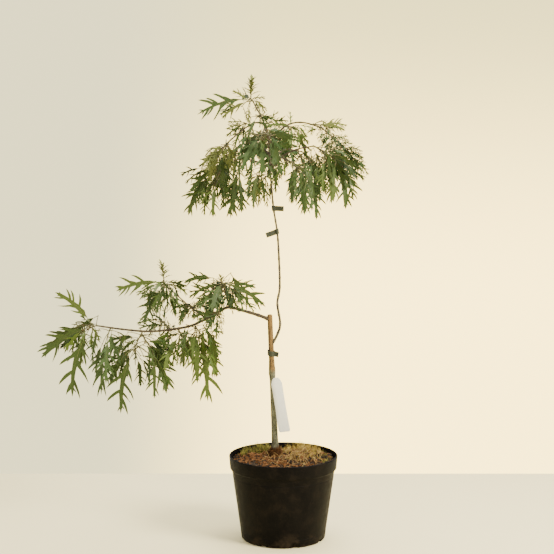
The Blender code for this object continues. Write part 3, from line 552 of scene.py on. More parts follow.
def lobe_plans(leaf: Leaf) -> list[LobePlan]:
    """Main lobes of a leaf, drawn in the order in which the solids draw them.

    Args:
        leaf: The leaf.

    Returns:
        One plan for each lobe, base to tip.
    """
    draw = Random(leaf.seed)
    lobes = LONG_LEAF_LOBES if leaf.length >= LONG_LEAF else SHORT_LEAF_LOBES
    first = draw.choice((0, 1))
    step = (LOBES_END - WEDGE_END) / lobes
    plans = []
    for k in range(1, lobes + 1):
        swell = math.sin(math.pi * (0.22 + 0.62 * (k - 1) / (lobes - 1)))
        out = LOBE_REACH * swell * draw.uniform(0.86, 1.12)
        ahead = LOBE_FORWARD * draw.uniform(0.85, 1.15)
        lift = draw.uniform(-0.04, 0.04)
        plans.append(LobePlan(WEDGE_END + step * (k - 1), 1 if (k + first) % 2 else -1, out, ahead, lift))
    return plans


def leaf_solid(leaf: Leaf, margin: float = 0.0) -> Body:
    """Plain solid of a leaf, used to find out what the leaf would touch.

    Args:
        leaf: The leaf.
        margin: How much the solid is fattened.

    Returns:
        Vertices and faces.
    """
    plans = lobe_plans(leaf)
    lobes = len(plans)
    first = 1 if plans[0].side < 0 else 0
    spine = leaf_spine(leaf)
    step = (LOBES_END - WEDGE_END) / lobes
    shares = [0.0] + [WEDGE_END + step * k for k in range(lobes + 1)]
    turned_to = direction(leaf.face, 0.0)
    verts: Points = []
    rows: list[int] = []
    for k, share in enumerate(shares):
        centre, along = point_along(spine, share)
        normal = across_from(turned_to, along)
        across = along.cross(normal)
        narrow = leaf.length * (1.0 - 0.4 * (k - 1) / lobes)
        half = (narrow * BLADE_HALF_WIDTH if k else STALK_HALF_WIDTH) + margin
        rib = (narrow * RIB_HALF_THICKNESS if k else STALK_HALF_WIDTH) + margin
        rows.append(len(verts))
        verts += [centre - across * half, centre + across * half]
        verts += [centre + normal * rib, centre - normal * rib]
        if 1 <= k <= lobes:
            plan = plans[k - 1]
            verts.append(centre + across * plan.side * (leaf.length * plan.out + margin)
                         + along * leaf.length * plan.ahead + normal * leaf.length * plan.lift)
    verts.append(spine[-1] + (spine[-1] - spine[-2]).normalized() * margin)
    faces: Faces = [(0, 2, 1), (0, 1, 3)]
    for k, (a, b) in enumerate(zip(rows, rows[1:])):
        for side in (0, 1):
            lobed = k > 0 and side == (k + first) % 2
            edge = [a + side, a + 4, b + side] if lobed else [a + side, b + side]
            for rib in (2, 3):
                faces += [(a + rib, p, q) for p, q in zip(edge, edge[1:] + [b + rib])]
    last = rows[-1]
    return verts, faces + [(last + rib, last + side, len(verts) - 1) for rib in (2, 3) for side in (0, 1)]


def search_tree(body: Body) -> BVHTree:
    """Search tree of a solid."""
    return BVHTree.FromPolygons(*body)


def crosses_blade(leaf: Leaf, tree: BVHTree, other: BVHTree) -> bool:
    """Whether a leaf meets another further from its root than the stalks that they share.

    Args:
        leaf: The leaf.
        tree: Tree of its fattened solid.
        other: Tree of the other leaf.

    Returns:
        True where the blades cross.
    """
    verts, faces = leaf_solid(leaf, LEAF_CLEARANCE)
    met = (sum((verts[i] for i in faces[own]), Vector()) / 3 for own, _ in tree.overlap(other))
    return any((place - leaf.root).length > leaf.length * WEDGE_END for place in met)


def free_leaf(leaf: Leaf, siblings: Iterable[BVHTree], obstacles: Iterable[BVHTree]) -> Leaf | None:
    """The leaf turned aside as little as keeps it clear of its neighbours.

    Args:
        leaf: The leaf as it was dealt.
        siblings: Leaves of its own mass, which it misses if it can.
        obstacles: Solids that it has to miss.

    Returns:
        The leaf, turned where needed, or None where no turn frees it.
    """
    fallback = None
    for bearing, slope in TURNS_ASIDE:
        turned_leaf = leaf._replace(bearing=leaf.bearing + bearing, slope=leaf.slope + slope)
        tree = search_tree(leaf_solid(turned_leaf, LEAF_CLEARANCE))
        if any(tree.overlap(other) for other in obstacles):
            continue
        if not any(crosses_blade(turned_leaf, tree, other) for other in siblings):
            return turned_leaf
        fallback = fallback or turned_leaf
    return fallback


# ---------------- meshes

def new_object(name: str, data: bpy.types.ID) -> Object:
    """Put an object in the scene."""
    obj = bpy.data.objects.new(name, data)
    bpy.context.scene.collection.objects.link(obj)
    return obj


@dataclass
class MeshBatch:
    """Vertices and faces that build up into one piece, with marks that its finish reads.

    The marks of a vertex are three shares: vein, tint and nearness to the tip.
    """

    name: str
    verts: Points = field(default_factory=list)
    faces: Faces = field(default_factory=list)
    marks: list[Mark] = field(default_factory=list)

    def add(self, verts: Points, faces: Faces, tint: float = 0.5, marks: Sequence[Mark] = ()) -> None:
        """Add one body.

        Args:
            verts: Its vertices.
            faces: Its faces, counted from its first vertex.
            tint: Their tint where they have no marks.
            marks: One mark for each vertex, or none at all.
        """
        start = len(self.verts)
        self.verts += verts
        self.faces += [tuple(start + i for i in face) for face in faces]
        self.marks += marks or [(0.0, tint, 0.5)] * len(verts)

    def build(self, material: Material, smooth: float = 60.0) -> Object:
        """Make the piece.

        Args:
            material: Its finish.
            smooth: Angle above which an edge stays sharp.

        Returns:
            The object.
        """
        mesh = bpy.data.meshes.new(self.name)
        mesh.from_pydata([tuple(v) for v in self.verts], [], self.faces)
        marks = mesh.attributes.new("marks", "FLOAT_VECTOR", "POINT")
        marks.data.foreach_set("vector", [value for mark in self.marks for value in mark])
        mesh.materials.append(material)
        mesh.shade_smooth()
        mesh.set_sharp_from_angle(angle=math.radians(smooth))
        return new_object(self.name, mesh)


def single(name: str, body: Body, material: Material, smooth: float = 60.0) -> Object:
    """A piece that is one body."""
    batch = MeshBatch(name)
    batch.add(*body)
    return batch.build(material, smooth)


def dress(obj: Object, slot: str, *replaced: str) -> Object:
    """Fix a piece to the plant's one body and hide the solids that it stands for.

    Args:
        obj: The piece.
        slot: Not used.
        replaced: Names of the solids.

    Returns:
        The piece.
    """
    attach(obj, "root")
    if replaced:
        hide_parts(*replaced)
    log.info("%s: %d faces, stands for %d solids", obj.name, len(obj.data.polygons), len(replaced))
    return obj


def face_outwards(obj: Object) -> Object:
    """Turn every face of a closed piece outwards.

    Args:
        obj: The piece.

    Returns:
        The piece.
    """
    bm = bmesh.new()
    bm.from_mesh(obj.data)
    bmesh.ops.recalc_face_normals(bm, faces=bm.faces)
    bm.to_mesh(obj.data)
    bm.free()
    return obj


def strip(path: Points, width: float, across: Vector, tip_share: float = 0.2) -> Body:
    """A flat blade along a path that narrows to its tip.

    Args:
        path: Centre line.
        width: Width at the root.
        across: Direction of the width.
        tip_share: Share of it left at the tip.

    Returns:
        Vertices and faces.
    """
    verts: Points = []
    last = len(path) - 1
    for i, p in enumerate(path):
        half = across * width * 0.5 * (1 - (1 - tip_share) * (i / last) ** 1.5)
        verts += [p - half, p + half]
    faces: Faces = [(2 * i, 2 * i + 1, 2 * i + 3, 2 * i + 2) for i in range(last)]
    return verts, faces


def turned_faces(rings: int, sides: int) -> Faces:
    """Faces of a turned solid: a point on the axis, its rings, and a point on the axis again.

    Args:
        rings: Number of rings.
        sides: Vertices in a ring.

    Returns:
        The faces.
    """
    last = 1 + (rings - 1) * sides
    turns = [(k, (k + 1) % sides) for k in range(sides)]
    first_cap = [(0, 1 + n, 1 + k) for k, n in turns]
    return first_cap + ring_quads(rings, sides, 1) + [(last + k, last + n, last + sides) for k, n in turns]


def turned_profile(profile: Sequence[Pair], sides: int) -> Body:
    """Solid turned about Z from a profile of radius and height, both ends on the axis.

    Args:
        profile: Radius and height of each point.
        sides: Steps round the axis.

    Returns:
        Vertices and faces.
    """
    verts = [Vector((0.0, 0.0, profile[0][1]))]
    for radius, height in profile[1:-1]:
        verts += circle(radius, height, sides)
    verts.append(Vector((0.0, 0.0, profile[-1][1])))
    return verts, turned_faces(len(profile) - 2, sides)


def rounded_profile(profile: Sequence[Pair], radius: float, steps: int) -> Outline:
    """The profile with each inner corner replaced by a small arc.

    Args:
        profile: Radius and height of each point.
        radius: Largest reach of an arc from its corner.
        steps: Steps in each arc.

    Returns:
        The rounded profile.
    """
    out = [profile[0]]
    for before, corner, after in zip(profile, profile[1:], profile[2:]):
        b, c, a = Vector(before), Vector(corner), Vector(after)
        reach = min(radius, (c - b).length * 0.45, (a - c).length * 0.45)
        start = c + (b - c).normalized() * reach
        end = c + (a - c).normalized() * reach
        for k in range(steps + 1):
            t = k / steps
            p = start * (1 - t) ** 2 + c * 2 * t * (1 - t) + end * t ** 2
            out.append((p.x, p.y))
    out.append(profile[-1])
    return out


# ---------------- node trees

Feed = float | Sequence[float] | NodeSocket


class Graph:
    """A node tree with short calls that add and join its nodes."""

    def __init__(self, tree: NodeTree) -> None:
        """Keep the tree."""
        self.tree = tree

    def node(self, kind: str, feeds: dict[str | int, Feed] | None = None, **settings: object) -> Node:
        """Add a node.

        Args:
            kind: Blender's name of the node's type.
            feeds: Value or socket for each input.
            settings: Properties of the node.

        Returns:
            The node.
        """
        made = self.tree.nodes.new(kind)
        for key, value in settings.items():
            setattr(made, key, value)
        for key, value in (feeds or {}).items():
            self.feed(made.inputs[key], value)
        return made

    def feed(self, socket: NodeSocket, value: Feed) -> None:
        """Join a socket to another one, or set its value.

        Args:
            socket: The socket.
            value: A value, or the socket that feeds it.
        """
        if isinstance(value, NodeSocket):
            self.tree.links.new(value, socket)
        elif socket.type == "RGBA" and len(value) == 3:
            socket.default_value = (*value, 1.0)
        else:
            socket.default_value = value

    def maths(self, operation: str, a: Feed, b: Feed = 0.0, clamp: bool = False) -> NodeSocket:
        """Result of one operation on two values."""
        return self.node("ShaderNodeMath", {0: a, 1: b}, operation=operation, use_clamp=clamp).outputs[0]

    def times(self, a: Feed, b: Feed, clamp: bool = False) -> NodeSocket:
        """Product of two values."""
        return self.maths("MULTIPLY", a, b, clamp)

    def plus(self, a: Feed, b: Feed, clamp: bool = False) -> NodeSocket:
        """Sum of two values."""
        return self.maths("ADD", a, b, clamp)

    def minus(self, a: Feed, b: Feed) -> NodeSocket:
        """Difference of two values."""
        return self.maths("SUBTRACT", a, b)

    def mix(self, share: Feed, a: Feed, b: Feed) -> NodeSocket:
        """Colour between two colours."""
        return self.node("ShaderNodeMix", {0: share, 6: a, 7: b}, data_type="RGBA").outputs[2]

    def noise(self, place: Feed, scale: Feed, detail: float = 2.0, rough: float = 0.5) -> NodeSocket:
        """Value of a noise at a place."""
        feeds = {"Vector": place, "Scale": scale, "Detail": detail, "Roughness": rough}
        return self.node("ShaderNodeTexNoise", feeds).outputs["Fac"]

    def span(self, value: Feed, low: Feed, high: Feed, to_low: float = 0.0,
             to_high: float = 1.0) -> NodeSocket:
        """A value taken smoothly from one range to another."""
        feeds = {0: value, 1: low, 2: high, 3: to_low, 4: to_high}
        return self.node("ShaderNodeMapRange", feeds, interpolation_type="SMOOTHSTEP").outputs[0]

    def place(self) -> NodeSocket:
        """Coordinates of the shaded point in the piece's own frame, in metres."""
        return self.node("ShaderNodeTexCoord").outputs["Object"]

    def axes(self, vector: Feed) -> list[NodeSocket]:
        """The three parts of a vector."""
        return list(self.node("ShaderNodeSeparateXYZ", {0: vector}).outputs)

    def marks(self) -> list[NodeSocket]:
        """The marks of the piece's vertices: vein, tint and nearness to the tip."""
        return self.axes(self.node("ShaderNodeAttribute", attribute_name="marks").outputs["Vector"])


class Group(Graph):
    """A shader node group: it takes a place and named values, and gives masks, heights or colours."""

    def __init__(self, name: str, gives: Sequence[str], **takes: float | Colour) -> None:
        """Make the group with its sockets.

        Args:
            name: Name of the group.
            gives: Names of its outputs.
            takes: Default of each input after the place.
        """
        super().__init__(bpy.data.node_groups.new(name, "ShaderNodeTree"))
        kinds = {"Place": "Vector"} | {label: "Color" if isinstance(default, tuple) else "Float"
                                       for label, default in takes.items()}
        sockets = [self.socket(label, "INPUT", kind) for label, kind in kinds.items()]
        for socket, default in zip(sockets[1:], takes.values()):
            socket.default_value = (*default, 1.0) if isinstance(default, tuple) else default
        for label in gives:
            self.socket(label, "OUTPUT", "Color" if label == "Colour" else "Float")
        self.takes = list(self.node("NodeGroupInput").outputs)[:len(kinds)]
        self.gives = self.node("NodeGroupOutput").inputs

    def socket(self, label: str, way: str, kind: str) -> bpy.types.NodeTreeInterfaceSocket:
        """Add a socket to the group's outside."""
        return self.tree.interface.new_socket(name=label, in_out=way, socket_type="NodeSocket" + kind)

    def give(self, **results: Feed) -> NodeTree:
        """Feed the outputs and hand the group over."""
        for label, value in results.items():
            self.feed(self.gives[label], value)
        return self.tree


@cache
def mottle_group() -> NodeTree:
    """Two sizes of soft blotches mixed into one mask."""
    g = Group("mottle", ["Mask"], Scale=60.0, Contrast=0.25)
    place, scale, contrast = g.takes
    coarse, fine = g.noise(place, scale, 3.0), g.noise(place, g.times(scale, 4.3))
    both = g.plus(g.times(coarse, 0.65), g.times(fine, 0.35))
    return g.give(Mask=g.span(both, g.minus(0.5, contrast), g.plus(0.5, contrast)))


@cache
def grain_group() -> NodeTree:
    """Fine even grain as a height and a small change of roughness."""
    g = Group("grain", ["Height", "Roughness"], Scale=1500.0, Roughness=0.5, Spread=0.08)
    place, scale, roughness, spread = g.takes
    blotch = g.noise(place, g.times(scale, 0.06))
    shift = g.times(g.times(g.minus(blotch, 0.5), 2.0), spread)
    return g.give(Height=g.noise(place, scale, 3.0), Roughness=g.plus(roughness, shift, clamp=True))


@cache
def edge_wear_group() -> NodeTree:
    """Mask of rubbed edges, broken up by noise."""
    g = Group("edge_wear", ["Mask"], Sharpness=0.53, Amount=0.6)
    place, sharpness, amount = g.takes
    pointed = g.node("ShaderNodeNewGeometry").outputs["Pointiness"]
    edge = g.span(pointed, sharpness, g.plus(sharpness, 0.06))
    worn = g.times(edge, g.span(g.noise(place, 160.0, 4.0), 0.4, 0.6))
    return g.give(Mask=g.times(worn, amount, clamp=True))


@cache
def dust_group() -> NodeTree:
    """Mask of dust and splashed dirt: on faces that look up, in blotches, and low on the walls."""
    g = Group("dust", ["Mask"], Amount=0.5, Top=0.04)
    place, amount, top = g.takes
    up = g.span(g.axes(g.node("ShaderNodeNewGeometry").outputs["Normal"])[2], 0.2, 0.95)
    low = g.span(g.axes(place)[2], top, 0.0)
    blotch = g.span(g.noise(place, 42.0, 5.0, 0.6), 0.46, 0.66)
    specks = g.span(g.noise(place, 420.0, 3.0, 0.6), 0.58, 0.7)
    patches = g.times(g.plus(g.maths("MAXIMUM", up, low), 0.3), blotch)
    return g.give(Mask=g.times(g.plus(patches, g.times(specks, 0.45)), amount, clamp=True))


@cache
def bark_group() -> NodeTree:
    """Bark that is stretched along the limb: a height, a mask of cracks and a mask of pale flakes."""
    g = Group("bark", ["Height", "Cracks", "Flakes"], Scale=300.0, Stretch=0.22)
    place, scale, stretch = g.takes
    squeeze = g.node("ShaderNodeCombineXYZ", {0: 1.0, 1: 1.0, 2: stretch}).outputs[0]
    along = g.node("ShaderNodeVectorMath", {0: place, 1: squeeze}, operation="MULTIPLY").outputs[0]
    cells = g.node("ShaderNodeTexVoronoi", {"Vector": along, "Scale": g.times(scale, 1.6)},
                   feature="DISTANCE_TO_EDGE").outputs["Distance"]
    broken = g.times(g.span(cells, 0.1, 0.0), g.span(g.noise(place, 130.0, 3.0), 0.42, 0.62))
    height = g.minus(g.noise(along, scale, 5.0, 0.62), g.times(broken, 0.6))
    return g.give(Height=height, Cracks=broken, Flakes=g.span(g.noise(place, 620.0, 4.0, 0.65), 0.52, 0.68))


@cache
def leaf_tone_group() -> NodeTree:
    """Colour of a leaf's upper face from its vein, tint and tip marks, and a fine height."""
    g = Group("leaf_tone", ["Colour", "Height"], Deep=(0.05, 0.1, 0.02), Light=(0.1, 0.2, 0.04),
              Vein=(0.2, 0.3, 0.1), Scorch=(0.2, 0.12, 0.04))
    place, deep, light, vein_colour, scorch = g.takes
    vein, tint, tip = g.marks()
    share = g.plus(g.times(tint, 0.75), g.times(g.minus(g.noise(place, 95.0, 3.0), 0.5), 0.9))
    body = g.mix(g.plus(share, 0.1, clamp=True), deep, light)
    veined = g.mix(g.span(vein, 0.55, 1.0, 0.0, 0.55), body, vein_colour)
    dry = g.times(g.span(tip, 0.86, 1.0), g.span(tint, 0.6, 1.0, 0.1, 0.7))
    height = g.minus(g.times(g.noise(place, 900.0), 0.35), g.times(vein, 0.6))
    return g.give(Colour=g.mix(dry, veined, scorch), Height=height)


class Surface:
    """A material with its graph and its shader."""

    def __init__(self, name: str, roughness: float, specular: float, **uniform: float) -> None:
        """Start a material.

        Args:
            name: Its name.
            roughness: Its roughness.
            specular: Strength of its reflection.
            uniform: Values of other sockets, underscores for spaces.
        """
        self.material = bpy.data.materials.new(name)
        self.material.use_nodes = True
        self.graph = Graph(self.material.node_tree)
        self.inputs = self.material.node_tree.nodes["Principled BSDF"].inputs
        for key, value in {"Roughness": roughness, "Specular IOR Level": specular, **uniform}.items():
            self.inputs[key.replace("_", " ")].default_value = value

    def effect(self, group: Callable[[], NodeTree], **feeds: Feed) -> bpy.types.NodeOutputs:
        """Outputs of a shared effect, placed at the shaded point with its own values.

        Args:
            group: What builds the effect.
            feeds: Its values, by the names of its inputs.

        Returns:
            Its outputs by name.
        """
        made = self.graph.node("ShaderNodeGroup", node_tree=group())
        self.graph.feed(made.inputs["Place"], self.graph.place())
        for key, value in feeds.items():
            self.graph.feed(made.inputs[key], value)
        return made.outputs

    def mottle(self, scale: float, contrast: float, strength: float = 1.0) -> Feed:
        """Mask of soft blotches, weakened by a strength."""
        mask = self.effect(mottle_group, Scale=scale, Contrast=contrast)["Mask"]
        return mask if strength == 1.0 else self.graph.times(mask, strength)

    def grain(self, scale: float, spread: float, dirt: Feed | None = None) -> NodeSocket:
        """Vary the roughness by fine grain.

        Args:
            scale: Scale of the grain.
            spread: How far it moves the roughness.
            dirt: Added roughness where there is dirt.

        Returns:
            The height of the grain.
        """
        plain = self.inputs["Roughness"].default_value
        made = self.effect(grain_group, Scale=scale, Roughness=plain, Spread=spread)
        rough = made["Roughness"] if dirt is None else self.graph.plus(made["Roughness"], dirt, clamp=True)
        self.graph.feed(self.inputs["Roughness"], rough)
        return made["Height"]

    def finish(self, colour: Feed, height: Feed | None = None, depth: float = 0.0,
               strength: float = 1.0) -> Material:
        """Feed the base colour, and a bump where there is a height.

        Args:
            colour: The base colour.
            height: The height, about 0 to 1.
            depth: Depth of the relief in metres.
            strength: Strength of the bump.

        Returns:
            The material.
        """
        self.graph.feed(self.inputs["Base Color"], colour)
        if height is not None:
            feeds = {"Height": height, "Distance": depth, "Strength": strength}
            self.graph.feed(self.inputs["Normal"], self.graph.node("ShaderNodeBump", feeds).outputs["Normal"])
        return self.material


# ---------------- finishes

@dataclass(frozen=True)
class LeafFinish:
    """A tone of leaf: colours of its upper face, its veins and its paler underside."""

    name: str
    share: float
    deep: Colour
    light: Colour
    vein: Colour
    under: Colour
    roughness: float = 0.46
    scorch: Colour = (0.07, 0.04, 0.012)

    def material(self) -> Material:
        """The finish as a material."""
        s = Surface(self.name, self.roughness, 0.16)
        tone = s.effect(leaf_tone_group, Deep=self.deep, Light=self.light, Vein=self.vein,
                        Scorch=self.scorch)
        back = s.graph.node("ShaderNodeNewGeometry").outputs["Backfacing"]
        s.grain(700.0, 0.1)
        colour = s.graph.mix(s.graph.times(back, 0.7), tone["Colour"], self.under)
        return s.finish(colour, tone["Height"], 0.0003, 0.7)


@dataclass(frozen=True)
class BarkFinish:
    """Thin bark of the boughs, the leader and the twigs."""

    name: str
    ground: Colour
    light: Colour
    crack: Colour
    scale: float = 420.0
    relief: float = 0.0005
    roughness: float = 0.78

    def material(self) -> Material:
        """The finish as a material."""
        s = Surface(self.name, self.roughness, 0.25)
        bark = s.effect(bark_group, Scale=self.scale, Stretch=0.35)
        body = s.graph.mix(s.mottle(110.0, 0.16), self.ground, self.light)
        flaked = s.graph.mix(s.graph.times(bark["Flakes"], 0.45), body, self.light)
        s.grain(1200.0, 0.1)
        return s.finish(s.graph.mix(bark["Cracks"], flaked, self.crack), bark["Height"], self.relief)


@dataclass(frozen=True)
class TrunkFinish:
    """Bark of the grafted trunk: one stock under the graft, another kind of bark above it, with painted shade
    on the scion's left-facing side.
    """

    name: str
    stock: Colour
    stock_dark: Colour
    scion: Colour
    scion_dark_and_shade: Colour
    crack: Colour
    lichen: Colour
    foot: Colour

    def material(self) -> Material:
        """The finish as a material."""
        s = Surface(self.name, 0.82, 0.25)
        g = s.graph
        bark = s.effect(bark_group, Scale=330.0, Stretch=0.28)
        blotches = s.mottle(85.0, 0.17)
        uneven = g.plus(g.axes(g.place())[2], g.times(g.minus(g.noise(g.place(), 70.0), 0.5), 0.016))
        # Left-right part of the normal, which places the scion's painted shade.
        side = g.axes(g.node("ShaderNodeNewGeometry").outputs["Normal"])[0]
        stock = g.mix(blotches, self.stock_dark, self.stock)
        stock = g.mix(s.mottle(210.0, 0.1, 0.35), stock, self.lichen)
        scion = g.mix(g.times(blotches, 0.7), self.scion, g.mix(0.5, self.scion, self.scion_dark_and_shade))
        # Painted shade: where the normal turns left (-X), away from the key light on the right, the scion
        # darkens towards its dark bark colour.
        scion = g.mix(g.times(g.span(side, -0.15, -0.75), 0.85), scion, self.scion_dark_and_shade)
        both = g.mix(g.span(uneven, GRAFT_HEIGHT - 0.004, GRAFT_HEIGHT + 0.007), stock, scion)
        footed = g.mix(g.span(uneven, SEAT_HEIGHT + 0.026, SEAT_HEIGHT + 0.004), both, self.foot)
        s.grain(1100.0, 0.12)
        return s.finish(g.mix(bark["Cracks"], footed, self.crack), bark["Height"], 0.0009)


@dataclass(frozen=True)
class PlasticFinish:
    """Moulded plastic with grain, rubbed edges and splashed dirt."""

    name: str
    ground: Colour
    worn: Colour
    dirt: Colour
    roughness: float
    dirt_amount: float
    grain: float = 1400.0
    shine: float = 0.3

    def material(self) -> Material:
        """The finish as a material."""
        s = Surface(self.name, self.roughness, self.shine)
        g = s.graph
        body = g.mix(s.mottle(16.0, 0.22, 0.5), self.ground, g.mix(0.35, self.ground, self.worn))
        body = g.mix(s.effect(edge_wear_group, Amount=0.55)["Mask"], body, self.worn)
        dust = s.effect(dust_group, Amount=self.dirt_amount)["Mask"]
        height = s.grain(self.grain, 0.12, g.times(dust, 0.35))
        return s.finish(g.mix(dust, body, self.dirt), height, 0.00012, 0.6)


@dataclass(frozen=True)
class CrumbFinish:
    """Rough crumbled matter: compost, bark chips, moss and dry fibres."""

    name: str
    dark: Colour
    mid: Colour
    light: Colour
    scale: float
    roughness: float = 0.95
    relief: float = 0.0008

    def material(self) -> Material:
        """The finish as a material."""
        s = Surface(self.name, self.roughness, 0.15)
        g = s.graph
        tint = g.marks()[1]
        body = g.mix(g.plus(s.mottle(self.scale, 0.14, 0.3), g.times(tint, 0.7)), self.dark, self.mid)
        speckled = g.mix(s.mottle(self.scale * 5.0, 0.08, 0.45), body, self.light)
        return s.finish(speckled, s.grain(self.scale * 9.0, 0.06), self.relief)


@dataclass(frozen=True)
class StudioFinish:
    """Painted floor with a trace of unevenness and a faint glow of its own."""

    name: str
    ground: Colour
    second: Colour
    roughness: float
    glow: float

    def material(self) -> Material:
        """The finish as a material."""
        s = Surface(self.name, self.roughness, 0.2, Emission_Strength=self.glow)
        paint = s.graph.mix(s.mottle(1.6, 0.3, 0.35), self.ground, self.second)
        s.graph.feed(s.inputs["Emission Color"], paint)
        s.grain(240.0, 0.05)
        return s.finish(paint)


class LeafTone(Enum):
    """Tones of leaf, in the order in which they are dealt out, each with its share of the sprays."""

    MATURE = LeafFinish("leaf_mature", 0.5, (0.0085, 0.0215, 0.0014), (0.029, 0.056, 0.0048),
                        (0.08, 0.112, 0.017), (0.048, 0.072, 0.018))
    BLUISH = LeafFinish("leaf_bluish", 0.18, (0.014, 0.035, 0.0058), (0.039, 0.076, 0.0145),
                        (0.085, 0.126, 0.032), (0.054, 0.084, 0.029), 0.5)
    FRESH = LeafFinish("leaf_fresh", 0.26, (0.0225, 0.044, 0.0026), (0.064, 0.101, 0.0105),
                       (0.125, 0.158, 0.028), (0.072, 0.1, 0.024))
    YOUNG = LeafFinish("leaf_young", 0.06, (0.058, 0.077, 0.0085), (0.125, 0.146, 0.026),
                       (0.19, 0.198, 0.054), (0.116, 0.132, 0.038))

    @property
    def piece(self) -> str:
        """Name of the piece that holds the leaves of this tone."""
        return "leaves_" + self.name.lower()


class Moss(Enum):
    """Kinds of growth and litter on the compost."""

    GOLD = CrumbFinish("moss_gold", (0.028, 0.017, 0.003), (0.48, 0.32, 0.05), (0.7, 0.54, 0.16),
                       260.0, 0.9, 0.0002)
    OLIVE = CrumbFinish("moss_olive", (0.018, 0.017, 0.003), (0.19, 0.17, 0.026), (0.34, 0.29, 0.07),
                        260.0, 0.9, 0.0002)
    RUST = CrumbFinish("fibre_rust", (0.014, 0.006, 0.003), (0.15, 0.06, 0.018), (0.28, 0.14, 0.045),
                       260.0, 0.9, 0.0002)
    STRAW = CrumbFinish("straw", (0.12, 0.06, 0.018), (0.45, 0.28, 0.09), (0.64, 0.45, 0.19),
                        260.0, 0.85, 0.0002)


BOUGH_BARK = BarkFinish("bark_bough", (0.04, 0.028, 0.016), (0.068, 0.052, 0.031), (0.012, 0.0085, 0.0055))
LEADER_BARK = BarkFinish("bark_leader", (0.05, 0.041, 0.027), (0.115, 0.1, 0.069), (0.013, 0.01, 0.00672))
TWIG_BARK = BarkFinish("bark_twig", (0.05, 0.052, 0.017), (0.105, 0.095, 0.038), (0.03, 0.02, 0.0084),
                       700.0, 0.0002, 0.6)
STALK_SKIN = BarkFinish("stalk_skin", (0.075, 0.083, 0.024), (0.135, 0.13, 0.048), (0.06, 0.04, 0.019),
                        900.0, 0.0001, 0.55)
TRUNK_BARK = TrunkFinish("bark_trunk", (0.145, 0.14, 0.084), (0.06, 0.058, 0.034), (0.2, 0.117, 0.038),
                         (0.03, 0.022, 0.013), (0.022, 0.018, 0.011), (0.2, 0.21, 0.139), (0.043, 0.02, 0.01))
POT_PLASTIC = PlasticFinish("plastic_pot", (0.0012, 0.001, 0.0013), (0.015, 0.012, 0.0095),
                            (0.028, 0.02, 0.013), 0.5, 0.5, shine=0.05)
LABEL_PLASTIC = PlasticFinish("plastic_label", (0.93, 0.93, 0.88), (0.8, 0.79, 0.72), (0.52, 0.47, 0.36),
                              0.34, 0.12, 900.0)
TIE_TAPE = PlasticFinish("tape_tie", (0.023, 0.028, 0.015), (0.059, 0.065, 0.041), (0.045, 0.043, 0.025),
                         0.62, 0.35, 2600.0)
COMPOST = CrumbFinish("compost", (0.0052, 0.00364, 0.00225), (0.023, 0.015, 0.0081), (0.062, 0.039, 0.02),
                      130.0)
CHIP_DARK = CrumbFinish("chip_dark", (0.005, 0.0036, 0.0024), (0.022, 0.014, 0.008), (0.06, 0.042, 0.026),
                        300.0)
CHIP_RUST = CrumbFinish("chip_rust", (0.028, 0.01, 0.0036), (0.15, 0.058, 0.017), (0.27, 0.135, 0.045),
                        300.0)
BUD_SCALE = CrumbFinish("bud_scale", (0.036, 0.018, 0.008), (0.104, 0.057, 0.023), (0.172, 0.109, 0.05),
                        500.0, 0.6, 0.0002)
FLOOR_PAINT = StudioFinish("floor_paint", (0.89, 0.795, 0.45), (0.83, 0.735, 0.4), 0.7, 0.12)


# ---------------- pot and what is in it

BOX_CORNERS = [Vector((x, y, z)) for x in (-1, 1) for y in (-1, 1) for z in (-1, 1)]
BOX_FACES: Faces = [(0, 1, 3, 2), (4, 6, 7, 5), (0, 4, 5, 1), (2, 3, 7, 6), (0, 2, 6, 4), (1, 5, 7, 3)]


